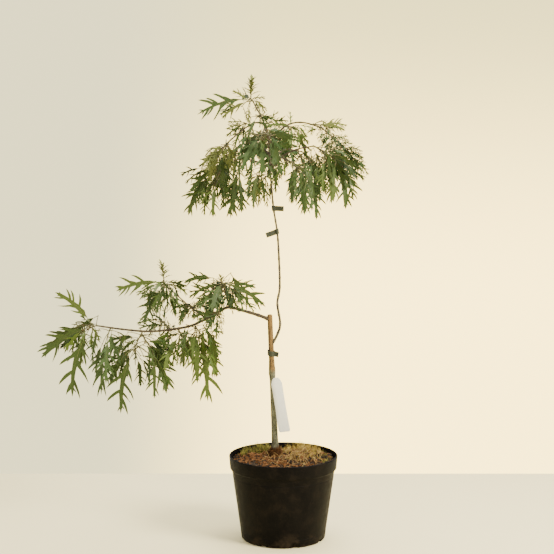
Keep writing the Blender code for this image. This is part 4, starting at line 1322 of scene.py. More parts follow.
@dataclass
class NurseryPot:
    """Thin moulded pot with a deep band at the rim, a rolled lip and notches round the foot."""

    sides: int = 144
    fillet: float = 0.0014
    fillet_steps: int = 3
    lip: float = 0.0012
    rib_heights: tuple[float, ...] = (0.0165, 0.13)
    rib_depth: float = 0.00035
    rib_width: float = 0.0016

    def profile(self) -> Outline:
        """Radius and height round the wall's section, from the underside's middle to the floor's."""
        neck = POT_HEIGHT - POT_BAND_HEIGHT
        band = POT_RIM_RADIUS - POT_BAND_TAPER
        points = [(0.0, 0.0), (POT_BASE_RADIUS - 0.003, 0.0), (POT_BASE_RADIUS, 0.003)]
        for height in self.rib_heights:
            share = (height - 0.003) / (neck - 0.007)
            radius = POT_BASE_RADIUS + (POT_NECK_RADIUS - POT_BASE_RADIUS) * share
            points += [(radius, height), (radius - self.rib_depth, height + self.rib_width / 2),
                       (radius, height + self.rib_width)]
        points += [(POT_NECK_RADIUS, neck - 0.004), (POT_NECK_RADIUS + 0.0008, neck), (band, neck + 0.0012),
                   (POT_RIM_RADIUS, POT_HEIGHT - self.lip), (POT_RIM_RADIUS - self.lip, POT_HEIGHT),
                   (POT_RIM_RADIUS - 2 * self.lip, POT_HEIGHT), (band - POT_WALL, neck + 0.004),
                   (POT_NECK_RADIUS - POT_WALL, neck), (POT_BASE_RADIUS - POT_WALL, POT_FLOOR),
                   (0.0, POT_FLOOR)]
        return rounded_profile(points, self.fillet, self.fillet_steps)

    def notch_cutter(self) -> Object:
        """Ring of boxes that cut the foot's notches."""
        batch = MeshBatch("notch_cutter")
        half = Vector((NOTCH_DEPTH, NOTCH_WIDTH / 2, NOTCH_HEIGHT))
        out = Vector((POT_BASE_RADIUS, 0.0, 0.0))
        for k in range(NOTCHES):
            turn = Matrix.Rotation(math.radians(NOTCH_TURN + 360.0 * k / NOTCHES), 4, "Z")
            batch.add([turn @ (out + half * corner) for corner in BOX_CORNERS], BOX_FACES)
        return face_outwards(batch.build(bpy.data.materials.new("cutter")))

    def build(self) -> None:
        """Make the pot, dressed."""
        body = turned_profile(self.profile(), self.sides)
        pot = single("nursery_pot", body, POT_PLASTIC.material(), 35.0)
        cutter = self.notch_cutter()
        cut = pot.modifiers.new("notches", "BOOLEAN")
        cut.operation = "DIFFERENCE"
        cut.solver = "EXACT"
        cut.object = cutter
        view = bpy.context.evaluated_depsgraph_get()
        view.update()
        mesh = bpy.data.meshes.new_from_object(pot.evaluated_get(view))
        pot.modifiers.clear()
        pot.data = mesh
        bpy.data.objects.remove(cutter)
        dress(face_outwards(pot), "pot", "pot")


def soil_height(x: float, y: float) -> float:
    """Height of the compost's top at a place in plan, before its crumbs.

    Args:
        x: Place along X.
        y: Place along Y.

    Returns:
        The height.
    """
    share = math.hypot(x, y) / POT_NECK_RADIUS
    height = SOIL_EDGE + SOIL_CROWN * (1 - share ** 2)
    for hx, hy, rise, spread in HUMMOCKS:
        height += rise * math.exp(-((x - hx) ** 2 + (y - hy) ** 2) / (2 * spread ** 2))
    return height + 0.0008 * math.sin(90 * x + 1.0) * math.sin(110 * y)


@dataclass
class Compost:
    """Damp compost with its crumbs and bark chips, sunk a little under the rim."""

    sides: int = 160
    rings: int = 46
    crumble: float = 0.0016
    crumble_scale: float = 190.0
    chips: int = 1500
    chip_size: Pair = (0.001, 0.0042)
    seed: int = 71

    @property
    def edge(self) -> float:
        """Radius of the compost where it meets the wall."""
        return POT_RIM_RADIUS - POT_BAND_TAPER - POT_WALL - CLEAR - 0.0006

    def top(self, x: float, y: float) -> float:
        """Height of the crumbled top at a place in plan.

        Args:
            x: Place along X.
            y: Place along Y.

        Returns:
            The height.
        """
        place = Vector((x, y, 0.0))
        rough = noise.fractal(place * self.crumble_scale, 1.0, 2.0, 4)
        near_foot = min(1.0, (place - Vector((TRUNK_FOOT.x, TRUNK_FOOT.y, 0.0))).length / SEAT_RADIUS)
        return soil_height(x, y) + self.crumble * rough * near_foot - 0.0006

    def somewhere(self, share: float, draw: Random) -> Pair:
        """A place in plan, evenly dealt out within a share of the edge."""
        radius = self.edge * share * math.sqrt(draw.random())
        angle = draw.uniform(0, math.tau)
        return radius * math.cos(angle), radius * math.sin(angle)

    def surface(self) -> Object:
        """The body of compost as one closed solid."""
        verts = [Vector()]
        for ring in range(1, self.rings + 1):
            verts += circle(self.edge * ring / self.rings, 0.0, self.sides)
        for v in verts:
            v.z = self.top(v.x, v.y)
        neck = POT_HEIGHT - POT_BAND_HEIGHT
        inner = POT_WALL + CLEAR + 0.0004
        for radius, height in ((self.edge, neck + 0.0045), (POT_NECK_RADIUS - inner, neck),
                               (POT_BASE_RADIUS - inner, POT_FLOOR + CLEAR)):
            verts += circle(radius, height, self.sides)
        verts.append(Vector((0.0, 0.0, POT_FLOOR + CLEAR)))
        faces = [face[::-1] for face in turned_faces(self.rings + 3, self.sides)]
        draw = Random(self.seed)
        batch = MeshBatch("compost")
        batch.add(verts, faces, marks=[(0.0, draw.random(), 0.5) for _ in verts])
        return batch.build(COMPOST.material(), 70.0)

    def chip(self, centre: Vector, size: float, draw: Random) -> Body:
        """One angular crumb: a squashed box with its corners pulled about.

        Args:
            centre: Its middle.
            size: Its longest half side.
            draw: The scatter.

        Returns:
            Vertices and faces.
        """
        turn = Matrix.Rotation(draw.uniform(0, math.tau), 3, "Z")
        turn @= Matrix.Rotation(draw.uniform(-0.6, 0.6), 3, "X")
        half = Vector((size, size * draw.uniform(0.35, 0.8), size * draw.uniform(0.2, 0.5)))
        pulled = (half * corner * draw.uniform(0.65, 1.1) for corner in BOX_CORNERS)
        return [centre + turn @ corner for corner in pulled], BOX_FACES

    def build(self) -> None:
        """Make the compost and its chips, dressed."""
        dress(self.surface(), "soil", "soil")
        draw = Random(self.seed)
        dark, rust = MeshBatch("chips_dark"), MeshBatch("chips_rust")
        for _ in range(self.chips):
            x, y = self.somewhere(0.97, draw)
            size = draw.uniform(*self.chip_size)
            batch = rust if draw.random() < 0.42 + 0.25 * (x < 0) else dark
            batch.add(*self.chip(Vector((x, y, self.top(x, y) + size * 0.25)), size, draw), draw.random())
        dress(dark.build(CHIP_DARK.material(), 25.0), "soil")
        dress(rust.build(CHIP_RUST.material(), 25.0), "soil")


MOSS_HILLS = ((Moss.GOLD, 1.0, 0.038, 0.03, 0.044, 0.056), (Moss.OLIVE, 1.1, -0.046, 0.052, 0.04, 0.04),
              (Moss.OLIVE, 0.8, 0.086, -0.004, 0.018, 0.03), (Moss.RUST, 0.7, -0.052, -0.004, 0.034, 0.026))


@dataclass
class MossBed:
    """Moss and dry fibres that grow on the compost, thickest to the right and behind the trunk."""

    ground: Compost
    tufts: int = 1400
    tuft_blades: tuple[int, int] = (7, 16)
    tuft_spread: float = 0.0012
    blade_height: Pair = (0.0035, 0.012)
    blade_width: float = 0.00075
    blade_steps: int = 3
    strands: int = 190
    strand_length: Pair = (0.012, 0.04)
    strand_width: float = 0.0007
    collar_fibres: int = 1900
    collar_reach: float = 0.015
    collar_height: float = 0.015
    seed: int = 83
    batches: dict[Moss, MeshBatch] = field(default_factory=dict)

    def kind_at(self, x: float, y: float, draw: Random) -> Moss | None:
        """Which growth stands at a place in plan.

        Args:
            x: Place along X.
            y: Place along Y.
            draw: The scatter.

        Returns:
            The kind, or None on bare compost.
        """
        patch = noise.noise(Vector((x * 42.0, y * 42.0, 3.0)))
        if noise.noise(Vector((x * 150.0, y * 150.0, 8.0))) < -0.13:
            return None
        strength = {}
        for kind, peak, cx, cy, wide, deep in MOSS_HILLS:
            hill = peak * math.exp(-((x - cx) / wide) ** 2 - ((y - cy) / deep) ** 2)
            strength[kind] = max(hill, strength.get(kind, 0.0))
        kind = max(strength, key=strength.get)
        if strength[kind] + 0.5 * patch < draw.uniform(0.22, 0.62):
            return None
        if kind is Moss.GOLD and draw.random() < 0.12 + 0.5 * max(0.0, patch):
            return Moss.OLIVE
        return kind

    def blade(self, root: Vector, height: float, lean: Vector, width: float, draw: Random) -> Body:
        """One thin blade that rises and bends over.

        Args:
            root: Where it stands.
            height: Its length.
            lean: Direction in plan to which it bends, longer to bend more.
            width: Its width at the root.
            draw: The scatter.

        Returns:
            Vertices and faces.
        """
        path = [root]
        heading = (UP + lean * 0.4).normalized()
        for _ in range(self.blade_steps):
            path.append(path[-1] + heading * height / self.blade_steps)
            heading = (heading + lean * 0.5 + Vector((0.0, 0.0, -0.12)) * lean.length).normalized()
        twist = Vector((draw.uniform(-0.5, 0.5), draw.uniform(-0.5, 0.5), 0.0))
        return strip(path, width, (Vector((-lean.y, lean.x, 0.0)) + twist).normalized())

    def batch(self, kind: Moss) -> MeshBatch:
        """Batch of a kind's blades and strands."""
        return self.batches.setdefault(kind, MeshBatch(kind.value.name))

    def grow_tufts(self, draw: Random) -> None:
        """Stand tufts of moss with dark gaps between them, tallest behind the trunk.

        Args:
            draw: The scatter.
        """
        for _ in range(self.tufts):
            x, y = self.ground.somewhere(0.95, draw)
            kind = self.kind_at(x, y, draw)
            if kind is None:
                continue
            behind = max(0.0, min(0.08, y))
            growth = {Moss.GOLD: 0.8 + 16.0 * behind, Moss.OLIVE: 0.75 + 13.0 * behind}
            tall = growth.get(kind, 0.55) * draw.uniform(0.5, 1.2)
            tint = 0.55 + 2.1 * noise.noise(Vector((x * 190.0, y * 190.0, 5.0))) + draw.uniform(-0.3, 0.3)
            heading = scattered(draw, 0.25)
            for _ in range(draw.randint(*self.tuft_blades)):
                root = Vector((x, y, 0.0)) + scattered(draw, self.tuft_spread)
                if root.length > self.ground.edge * 0.98:
                    continue
                root.z = self.ground.top(root.x, root.y) - 0.0005
                lean = heading + scattered(draw, 0.34)
                height = draw.uniform(*self.blade_height) * tall
                shade = min(1.0, max(0.0, tint + draw.uniform(-0.2, 0.2)))
                self.batch(kind).add(*self.blade(root, height, lean, self.blade_width, draw), shade)

    def lay_strands(self, draw: Random) -> None:
        """Lay the long dry strands over the compost, most of them in front and to the right.

        Args:
            draw: The scatter.
        """
        for _ in range(self.strands):
            x = draw.gauss(0.028, 0.036)
            y = draw.gauss(-0.012, 0.034)
            if math.hypot(x, y) > self.ground.edge * 0.8:
                continue
            bearing = draw.uniform(0, 360)
            length = draw.uniform(*self.strand_length)
            arch = draw.uniform(0.001, 0.01)
            path = []
            for k in range(7):
                share = k / 6
                turned = direction(bearing + 34 * share, 0.0)
                px, py = x + turned.x * length * (share - 0.5), y + turned.y * length * (share - 0.5)
                rise = 0.0016 + arch * math.sin(math.pi * share)
                path.append(Vector((px, py, self.ground.top(px, py) + rise)))
            if max(math.hypot(p.x, p.y) for p in path) < self.ground.edge * 0.97:
                kind = Moss.STRAW if draw.random() < 0.66 else Moss.RUST
                radii = taper(7, self.strand_width * 0.5, self.strand_width * 0.2)
                self.batch(kind).add(*tube(path, radii, 4), draw.random())

    def wrap_collar(self, draw: Random) -> None:
        """Stand rusty fibres round the trunk's foot.

        Args:
            draw: The scatter.
        """
        foot = Vector((TRUNK_FOOT.x, TRUNK_FOOT.y, 0.0))
        for _ in range(self.collar_fibres):
            angle = draw.uniform(0, math.tau)
            out = Vector((math.cos(angle), math.sin(angle), 0.0))
            high = draw.random() ** 1.6
            reach = (self.collar_reach - TRUNK_RADIUS) * (1 - high) * draw.uniform(0.3, 1.0)
            root = foot + out * (TRUNK_RADIUS + 0.0012 + reach)
            root.z = self.ground.top(root.x, root.y) + self.collar_height * high
            lean = out * draw.uniform(-0.2, 0.9) + scattered(draw, 0.5)
            fibre = self.blade(root, draw.uniform(0.003, 0.0085), lean, 0.0008, draw)
            self.batch(Moss.RUST).add(*fibre, draw.random())

    def build(self) -> None:
        """Grow the bed, dressed."""
        draw = Random(self.seed)
        self.grow_tufts(draw)
        self.lay_strands(draw)
        self.wrap_collar(draw)
        for kind, batch in self.batches.items():
            dress(batch.build(kind.value.material(), ALL_SMOOTH), "soil")


# ---------------- trunk and limbs

@dataclass
class Wood:
    """Trunk, leader and boughs as fine tubes with the relief of their bark."""

    trunk_sides: int = 36
    trunk_rings: int = 190
    limb_sides: int = 14
    limb_spacing: float = 0.0022
    trunk_relief: float = 0.00034
    limb_relief: float = 0.0002
    node_spacing: float = 0.019
    node_swell: float = 0.22
    node_width: float = 0.0022
    collar_swell: float = 0.34
    collar_fall: float = 0.005
    paths: Runs = field(default_factory=limb_paths)

    def roughen(self, verts: Points, path: Points, sides: int, depth: float, scale: float,
                seed: float) -> None:
        """Push the vertices of a tube in and out with ridges that run along it.

        Args:
            verts: Vertices of the tube, ring by ring.
            path: Its centre line.
            sides: Vertices in a ring.
            depth: Largest push.
            scale: Scale of the ridges round the tube.
            seed: Shift of its ridges.
        """
        for i, v in enumerate(verts):
            out = (v - path[i // sides]).normalized()
            place = Vector((out.x * 2.2 + seed, out.y * 2.2, (v.z * 0.016 + v.x * 0.01) * scale))
            v += out * depth * (noise.noise(place * 1.6) + 0.5 * noise.noise(v * scale))

    def trunk(self) -> None:
        """Make the grafted trunk, its swelling lopsided like a side graft's, dressed."""
        path, radii = trunk_path(self.trunk_rings)
        rise = (TRUNK_TOP - TRUNK_FOOT).normalized()
        for share in (0.22, 0.42, 0.55):
            path.append(TRUNK_TOP + rise * TRUNK_TOP_RADIUS * share)
            radii.append(TRUNK_TOP_RADIUS * math.sqrt(1 - (share / 0.6) ** 2))
        verts, faces = tube(path, radii, self.trunk_sides)
        self.roughen(verts, path, self.trunk_sides, self.trunk_relief, 260.0, 0.0)
        for i, centre in enumerate(path):
            lump = GRAFT_SWELL * 0.55 * math.exp(-((centre.z - GRAFT_HEIGHT + 0.006) / 0.005) ** 2)
            scar = 0.0007 * math.exp(-((centre.z - GRAFT_HEIGHT - 0.0105) / 0.0012) ** 2)
            for v in verts[i * self.trunk_sides:(i + 1) * self.trunk_sides]:
                out = (v - centre).normalized()
                v += out * (lump * max(0.0, -out.x) - scar * max(0.0, -out.y + 0.3 * out.x))
        for v in verts[:self.trunk_sides]:
            v.z = TRUNK_FOOT.z
        dress(single("trunk_bark", (verts, faces), TRUNK_BARK.material(), 80.0), "trunk_bark", "trunk")

    def limb(self, index: int, limb: Limb) -> Body:
        """One limb: knots where shoots once stood and a collar at its base.

        Args:
            index: Its place in the table.
            limb: The limb.

        Returns:
            Vertices and faces.
        """
        path = smooth_path(limb.stations, self.limb_spacing)
        base = taper(len(path), limb.radius, limb.tip_radius)
        radii = []
        done = 0.0
        for i, radius in enumerate(base):
            if i:
                done += (path[i] - path[i - 1]).length
            off = (done + 0.004 * index) % self.node_spacing - self.node_spacing / 2
            knot = self.node_swell * math.exp(-(off / self.node_width) ** 2)
            collar = self.collar_swell * math.exp(-done / self.collar_fall)
            radii.append(radius * (0.96 + knot + collar))
        verts, faces = tube(path, radii, self.limb_sides)
        self.roughen(verts, path, self.limb_sides, self.limb_relief, 420.0, 5.0 + index)
        return verts, faces

    def build(self) -> None:
        """Make all the wood, dressed."""
        self.trunk()
        leader, boughs = MeshBatch("leader_bark"), MeshBatch("bough_bark")
        for index, limb in enumerate(LIMBS):
            (leader if limb.name == "leader" else boughs).add(*self.limb(index, limb))
        dress(leader.build(LEADER_BARK.material(), 80.0), "bough_bark", "leader")
        dress(boughs.build(BOUGH_BARK.material(), 80.0), "bough_bark",
              *(limb.name for limb in LIMBS if limb.name != "leader"))


# ---------------- ties and label

def share_at_height(path: Points, height: float) -> float:
    """Share of a path's length at which it first reaches a height.

    Args:
        path: Points of the path.
        height: The height.

    Returns:
        The share, 0 to 1.
    """
    total = sum((q - p).length for p, q in zip(path, path[1:]))
    done = 0.0
    for p, q in zip(path, path[1:]):
        if p.z <= height <= q.z:
            return (done + (q - p).length * (height - p.z) / (q.z - p.z)) / total
        done += (q - p).length
    return 1.0


@dataclass
class Tie:
    """One strip of soft tape wound round a stem, its two ends pressed together as a tail."""

    name: str
    height: float
    tail: float
    bearing: float
    slope: float
    thickness: float = 0.00042
    turns: int = 44
    rows: int = 6
    ripple: float = 0.00014

    def winding(self, inner: float) -> Outline:
        """Plan of the strip's centre line: in along the tail, round the stem and out again.

        Args:
            inner: Radius of its hole.

        Returns:
            Places along and across the tail.
        """
        middle = inner + TAPE_THICKNESS * 0.5
        end = middle + self.tail
        gap = self.thickness * 0.62
        opening = math.asin(min(0.9, 2.6 * gap / middle))
        leg = [(end - (end - middle - 0.0012) * k / 8, gap) for k in range(9)]
        arc = [(middle * math.cos(a), middle * math.sin(a))
               for a in (opening + (math.tau - 2 * opening) * k / self.turns for k in range(self.turns + 1))]
        back = [(x, -y) for x, y in reversed(leg)]
        return leg + arc + back

    def build(self, material: Material, centre: Vector, along: Vector, inner: float) -> None:
        """Make the tie round a stem, dressed.

        Args:
            material: Its finish.
            centre: Middle of the stem there.
            along: Direction of the stem.
            inner: Radius of its hole.
        """
        out = direction(self.bearing, self.slope)
        upright = across_from(along, out)
        across = out.cross(upright)
        plan = self.winding(inner)
        verts: Points = []
        for i, (x, y) in enumerate(plan):
            before, after = plan[max(0, i - 1)], plan[min(len(plan) - 1, i + 1)]
            heading = Vector((after[0] - before[0], after[1] - before[1])).normalized()
            normal = out * heading.y - across * heading.x
            round_the_stem = max(0.0, 1.0 - (math.hypot(x, y) / inner - 1.0) * 1.4)
            wave = self.ripple * math.sin(i * 0.9)
            base = centre + out * x + across * y
            lean = along * round_the_stem + upright * (1 - round_the_stem)
            lean.normalize()
            for side in (1, -1):
                for row in range(self.rows):
                    share = row / (self.rows - 1) * 2 - 1
                    narrow = 1.0 - 0.04 * (1 - round_the_stem)
                    edge = 1.0 if abs(share) > 0.9 else 0.0
                    half = self.thickness * (0.5 - 0.28 * edge)
                    verts.append(base + lean * share * side * TAPE_HEIGHT * 0.5 * narrow
                                 + normal * (side * half + wave))
        body = verts, closed_rings(len(plan), self.rows * 2)
        dress(face_outwards(single(self.name + "_tape", body, material, 50.0)), "tape", self.name)


def build_ties(paths: Runs) -> None:
    """Make the three ties: two on the leader and one where the leader leaves the trunk.

    Args:
        paths: Centre lines of the limbs.
    """
    material = TIE_TAPE.material()
    path, radii = paths["leader"]
    for tie in (Tie("tie_upper", 0.6725, 0.017, -8.0, -2.0), Tie("tie_middle", 0.626, 0.02, 192.0, -18.0)):
        share = share_at_height(path, tie.height)
        centre, along = point_along(path, share)
        tie.build(material, centre, along, radii[0] + (radii[-1] - radii[0]) * share + 3 * CLEAR)
    tie = Tie("tie_low", 0.379, 0.008, -20.0, -10.0)
    axis = [TRUNK_FOOT, TRUNK_TOP]
    centre, along = point_along(axis, share_at_height(axis, tie.height))
    tie.build(material, centre, along, TRUNK_RADIUS + 2 * CLEAR)


@dataclass
class BlankLabel:
    """Bare white strip label that hangs by its head on the trunk, bowed, curled along one edge and turned a
    little aside.
    """

    head: float = 0.33
    rows: int = 44
    columns: int = 8
    corner: float = 0.1
    curl: float = 0.004

    def half_width(self, y: float) -> float:
        """Half width at a share of the length, as a share of the full width.

        Args:
            y: Share of the length.

        Returns:
            The half width.
        """
        shoulder = 0.28 + 0.22 * min(1.0, y / 0.1)
        rounding = self.corner * LABEL_WIDTH / LABEL_LENGTH
        for inside in (y, 1 - y):
            if inside < rounding:
                shoulder -= self.corner * (1 - math.sqrt(max(0.0, 1 - (1 - inside / rounding) ** 2)))
        return shoulder

    def build(self) -> None:
        """Make the label, dressed."""
        axis = [TRUNK_FOOT, TRUNK_TOP]
        centre, _ = point_along(axis, share_at_height(axis, self.head))
        front = centre + Vector((0.0065, -(TRUNK_RADIUS + 0.003), 0.0))
        down = Vector((0.17, -0.04, -1.0)).normalized()
        across = across_from(Vector((1.0, -0.3, 0.17)), down)
        normal = down.cross(across)
        facing = normal if normal.y < 0 else -normal
        verts: Points = []
        for i in range(self.rows + 1):
            y = i / self.rows
            bow = 0.002 * math.sin(math.pi * y)
            for face in (0.5, -0.5):
                for j in range(self.columns + 1):
                    x = (j / self.columns * 2 - 1) * (1 if face > 0 else -1)
                    half = self.half_width(y)
                    edge = 1.0 - 0.5 * (abs(x) > 0.99)
                    curl = self.curl * max(0.0, -x - 0.35) ** 1.6 * math.sin(math.pi * min(1.0, 0.15 + y))
                    out = across * (x * half * LABEL_WIDTH + curl * 0.5) - facing * curl
                    thick = normal * (face * LABEL_THICKNESS * edge + bow)
                    verts.append(front + out + down * y * LABEL_LENGTH + thick)
        body = verts, closed_rings(self.rows + 1, 2 * (self.columns + 1))
        dress(face_outwards(single("blank_label", body, LABEL_PLASTIC.material(), 40.0)), "label", "label")


# ---------------- leaves

@dataclass
class LeafShape:
    """A deeply cut leaf: its outline in shares of its length and how it bends in space."""

    stalk_end: float = 0.125
    half_width: float = 0.034
    lobe_half_width: float = 0.022
    lobe_ahead: float = 1.12
    opposite_share: float = 0.64
    tooth_half_width: float = 0.01
    lobe_steps: int = 6
    stretch: float = 1.16
    fold: float = 0.1
    wave: float = 0.01
    rake: float = 1.05
    rib_radius: float = 0.00085
    rib_steps: int = 12
    blade_shares: tuple[float, ...] = (0.17, 0.23, WEDGE_END, 0.38, 0.46, 0.54, 0.62, 0.7, 0.79,
                                       LOBES_END, 0.94)

    def blade(self, draw: Random) -> Outline:
        """Outline of the blade's middle part, as places along and across."""
        broad = self.half_width * draw.uniform(0.85, 2.0)
        widths = []
        for u in self.blade_shares:
            if u < WEDGE_END:
                width = broad * ((u - self.stalk_end) / (WEDGE_END - self.stalk_end)) ** 1.3
            elif u <= LOBES_END:
                width = broad * (1 - 0.4 * (u - WEDGE_END) / (LOBES_END - WEDGE_END))
            else:
                width = broad * 0.6 * ((1 - u) / (1 - LOBES_END)) ** 0.8
            widths.append(width)
        right, left = ([(u, side * w * draw.uniform(0.85, 1.15)) for u, w in zip(self.blade_shares, widths)]
                       for side in (-1, 1))
        return [(self.stalk_end, 0.0), *right, (1.0, 0.0), *reversed(left)]

    def lobe(self, base: float, out: float, ahead: float, half: float, steps: int) -> tuple[Outline, Outline]:
        """Outline and vein of one lobe that sweeps out and then forward.

        Args:
            base: Where it starts along the leaf.
            out: Where its tip lies across the leaf.
            ahead: How far its tip lies ahead of that.
            half: Its half width.
            steps: Steps along it.

        Returns:
            The outline and the points of its vein.
        """
        first, last = Vector((base - 0.012, 0.0)), Vector((base + ahead, out))
        middle = Vector((base + 0.34 * ahead, out * 0.62))
        left: Outline = []
        right: Outline = []
        vein: Outline = []
        for k in range(steps + 1):
            t = k / steps
            p = first * (1 - t) ** 2 + middle * 2 * t * (1 - t) + last * t * t
            d = ((middle - first) * (1 - t) + (last - middle) * t).normalized()
            half_here = Vector((-d.y, d.x)) * half * (1 - t) ** 0.45 * (1 + 0.22 * math.sin(math.pi * t))
            left.append(tuple(p + half_here))
            right.append(tuple(p - half_here))
            vein.append(tuple(p))
        return [*right[:-1], vein[-1], *reversed(left[:-1])], vein[1:-1]

    def parts(self, plans: Sequence[LobePlan], draw: Random) -> tuple[list[Outline], list[Outline]]:
        """Outlines and veins of the whole leaf.

        Args:
            plans: Its main lobes.
            draw: The scatter.

        Returns:
            The outlines, which overlap, and the veins.
        """
        outlines = [self.blade(draw)]
        veins = [[(0.14 + 0.0835 * k, 0.0) for k in range(11)]]
        step = plans[1].base - plans[0].base
        for plan in plans:
            ahead = plan.ahead * self.lobe_ahead
            pairs = [(plan.base, plan.side * plan.out * self.stretch, ahead, self.lobe_half_width)]
            if draw.random() < self.opposite_share:
                base = plan.base + step * draw.uniform(0.25, 0.55)
                out = -plan.side * plan.out * draw.uniform(0.55, 0.92)
                pairs.append((base, out, ahead * draw.uniform(0.65, 0.95), self.lobe_half_width * 0.85))
            for base, out, ahead, half in pairs:
                outline, vein = self.lobe(base, out, ahead, half, self.lobe_steps)
                outlines.append(outline)
                veins.append([(max(0.15, base - 0.012), 0.0), *vein])
                for side in (1, -1):
                    if draw.random() < (0.75 if abs(out) > 0.13 else 0.4):
                        at = draw.uniform(0.42, 0.62)
                        outlines.append(self.tooth(vein, at, side, abs(out) * draw.uniform(0.24, 0.4)))
        for side in (1, -1):
            base = LOBES_END + 0.012 * draw.uniform(-1, 1)
            out, ahead = side * draw.uniform(0.035, 0.06), draw.uniform(0.055, 0.085)
            outlines.append(self.lobe(base, out, ahead, self.tooth_half_width * 1.2, 4)[0])
        return outlines, veins

    def tooth(self, vein: Outline, at: float, side: int, length: float) -> Outline:
        """A pointed tooth on a lobe's edge.

        Args:
            vein: Points of the lobe's vein.
            at: Share of the vein at which it stands.
            side: Which edge, 1 or -1.
            length: Length of the tooth.

        Returns:
            Its outline.
        """
        i = min(len(vein) - 2, int(at * (len(vein) - 1)))
        here = Vector(vein[i])
        d = (Vector(vein[i + 1]) - here).normalized()
        n = Vector((-d.y, d.x)) * side
        tip = here + (d * 0.8 + n * 0.62) * length
        foot = d * self.tooth_half_width * 1.3
        bend = here + (d * 0.34 + n * 0.46) * length + d * 0.006
        points = [here - foot, (here - foot).lerp(tip, 0.5) + n * 0.004, tip, bend, here + foot]
        return [tuple(p) for p in (points if side < 0 else reversed(points))]

    def flat(self, plans: Sequence[LobePlan], draw: Random) -> tuple[Outline, Faces, list[bool]]:
        """The leaf's outlines and veins joined into one flat sheet.

        Args:
            plans: Its main lobes.
            draw: The scatter.

        Returns:
            Places along and across, triangles, and whether each place lies on a vein.
        """
        outlines, veins = self.parts(plans, draw)
        coords: Points = []
        faces, edges = [], []
        for outline in outlines:
            faces.append(list(range(len(coords), len(coords) + len(outline))))
            coords += [Vector(p) for p in outline]
        first_vein = len(coords)
        for vein in veins:
            edges += [(k, k + 1) for k in range(len(coords), len(coords) + len(vein) - 1)]
            coords += [Vector(p) for p in vein]
        places, _, triangles, sources, _, _ = delaunay_2d_cdt(coords, edges, faces, 1, 1e-5)
        on_vein = [any(s >= first_vein for s in source) for source in sources]
        return places, [tuple(t) for t in triangles], on_vein

    def build(self, leaf: Leaf, blade: MeshBatch, stalk: MeshBatch, tint: float) -> None:
        """Add one leaf to its batches.

        Args:
            leaf: The leaf.
            blade: Batch of the blades of its tone.
            stalk: Batch of stalks and ribs.
            tint: Its own tint.
        """
        plans = lobe_plans(leaf)
        draw = Random(leaf.seed + 7)
        places, triangles, on_vein = self.flat(plans, draw)
        spine = smooth_path(leaf_spine(leaf), leaf.length / 20)
        turned_to = direction(leaf.face, 0.0)
        phase = draw.uniform(0, math.tau)
        verts: Points = []
        marks = []
        for (u, v), veined in zip(places, on_vein):
            off = abs(v)
            anchor = min(0.999, max(0.0, u - self.rake * off))
            centre, along = point_along(spine, anchor)
            normal = across_from(turned_to, along)
            own_side = [plan for plan in plans if plan.side == (1 if v > 0 else -1)]
            lift = min(((abs(plan.base - anchor), plan.lift / plan.out ** 1.5) for plan in own_side),
                       default=(0.0, 0.0))[1]
            wave = self.wave * math.sin(9.0 * u + phase) * (0.3 + 4 * off)
            height = self.fold * off + lift * off ** 1.5 + wave
            verts.append(centre + along * (u - anchor) * leaf.length + along.cross(normal) * v * leaf.length
                         + normal * height * leaf.length)
            marks.append((float(veined), tint, max(u, off * 5.2)))
        blade.add(verts, triangles, marks=marks)
        rib = []
        steps = self.rib_steps
        for k in range(steps + 1):
            centre, along = point_along(spine, 0.94 * k / steps)
            wave = self.wave * math.sin(9.0 * 0.94 * k / steps + phase) * 0.3 * (k > 1)
            rib.append(centre + across_from(turned_to, along) * (wave * leaf.length - 0.00025 * (k > 1)))
        size = self.rib_radius * min(1.0, leaf.length / 0.09)
        radii = [size * (1 - 0.86 * (k / steps) ** 0.7) for k in range(steps + 1)]
        stalk.add(*tube(rib, radii, 5, pointed=True), tint)


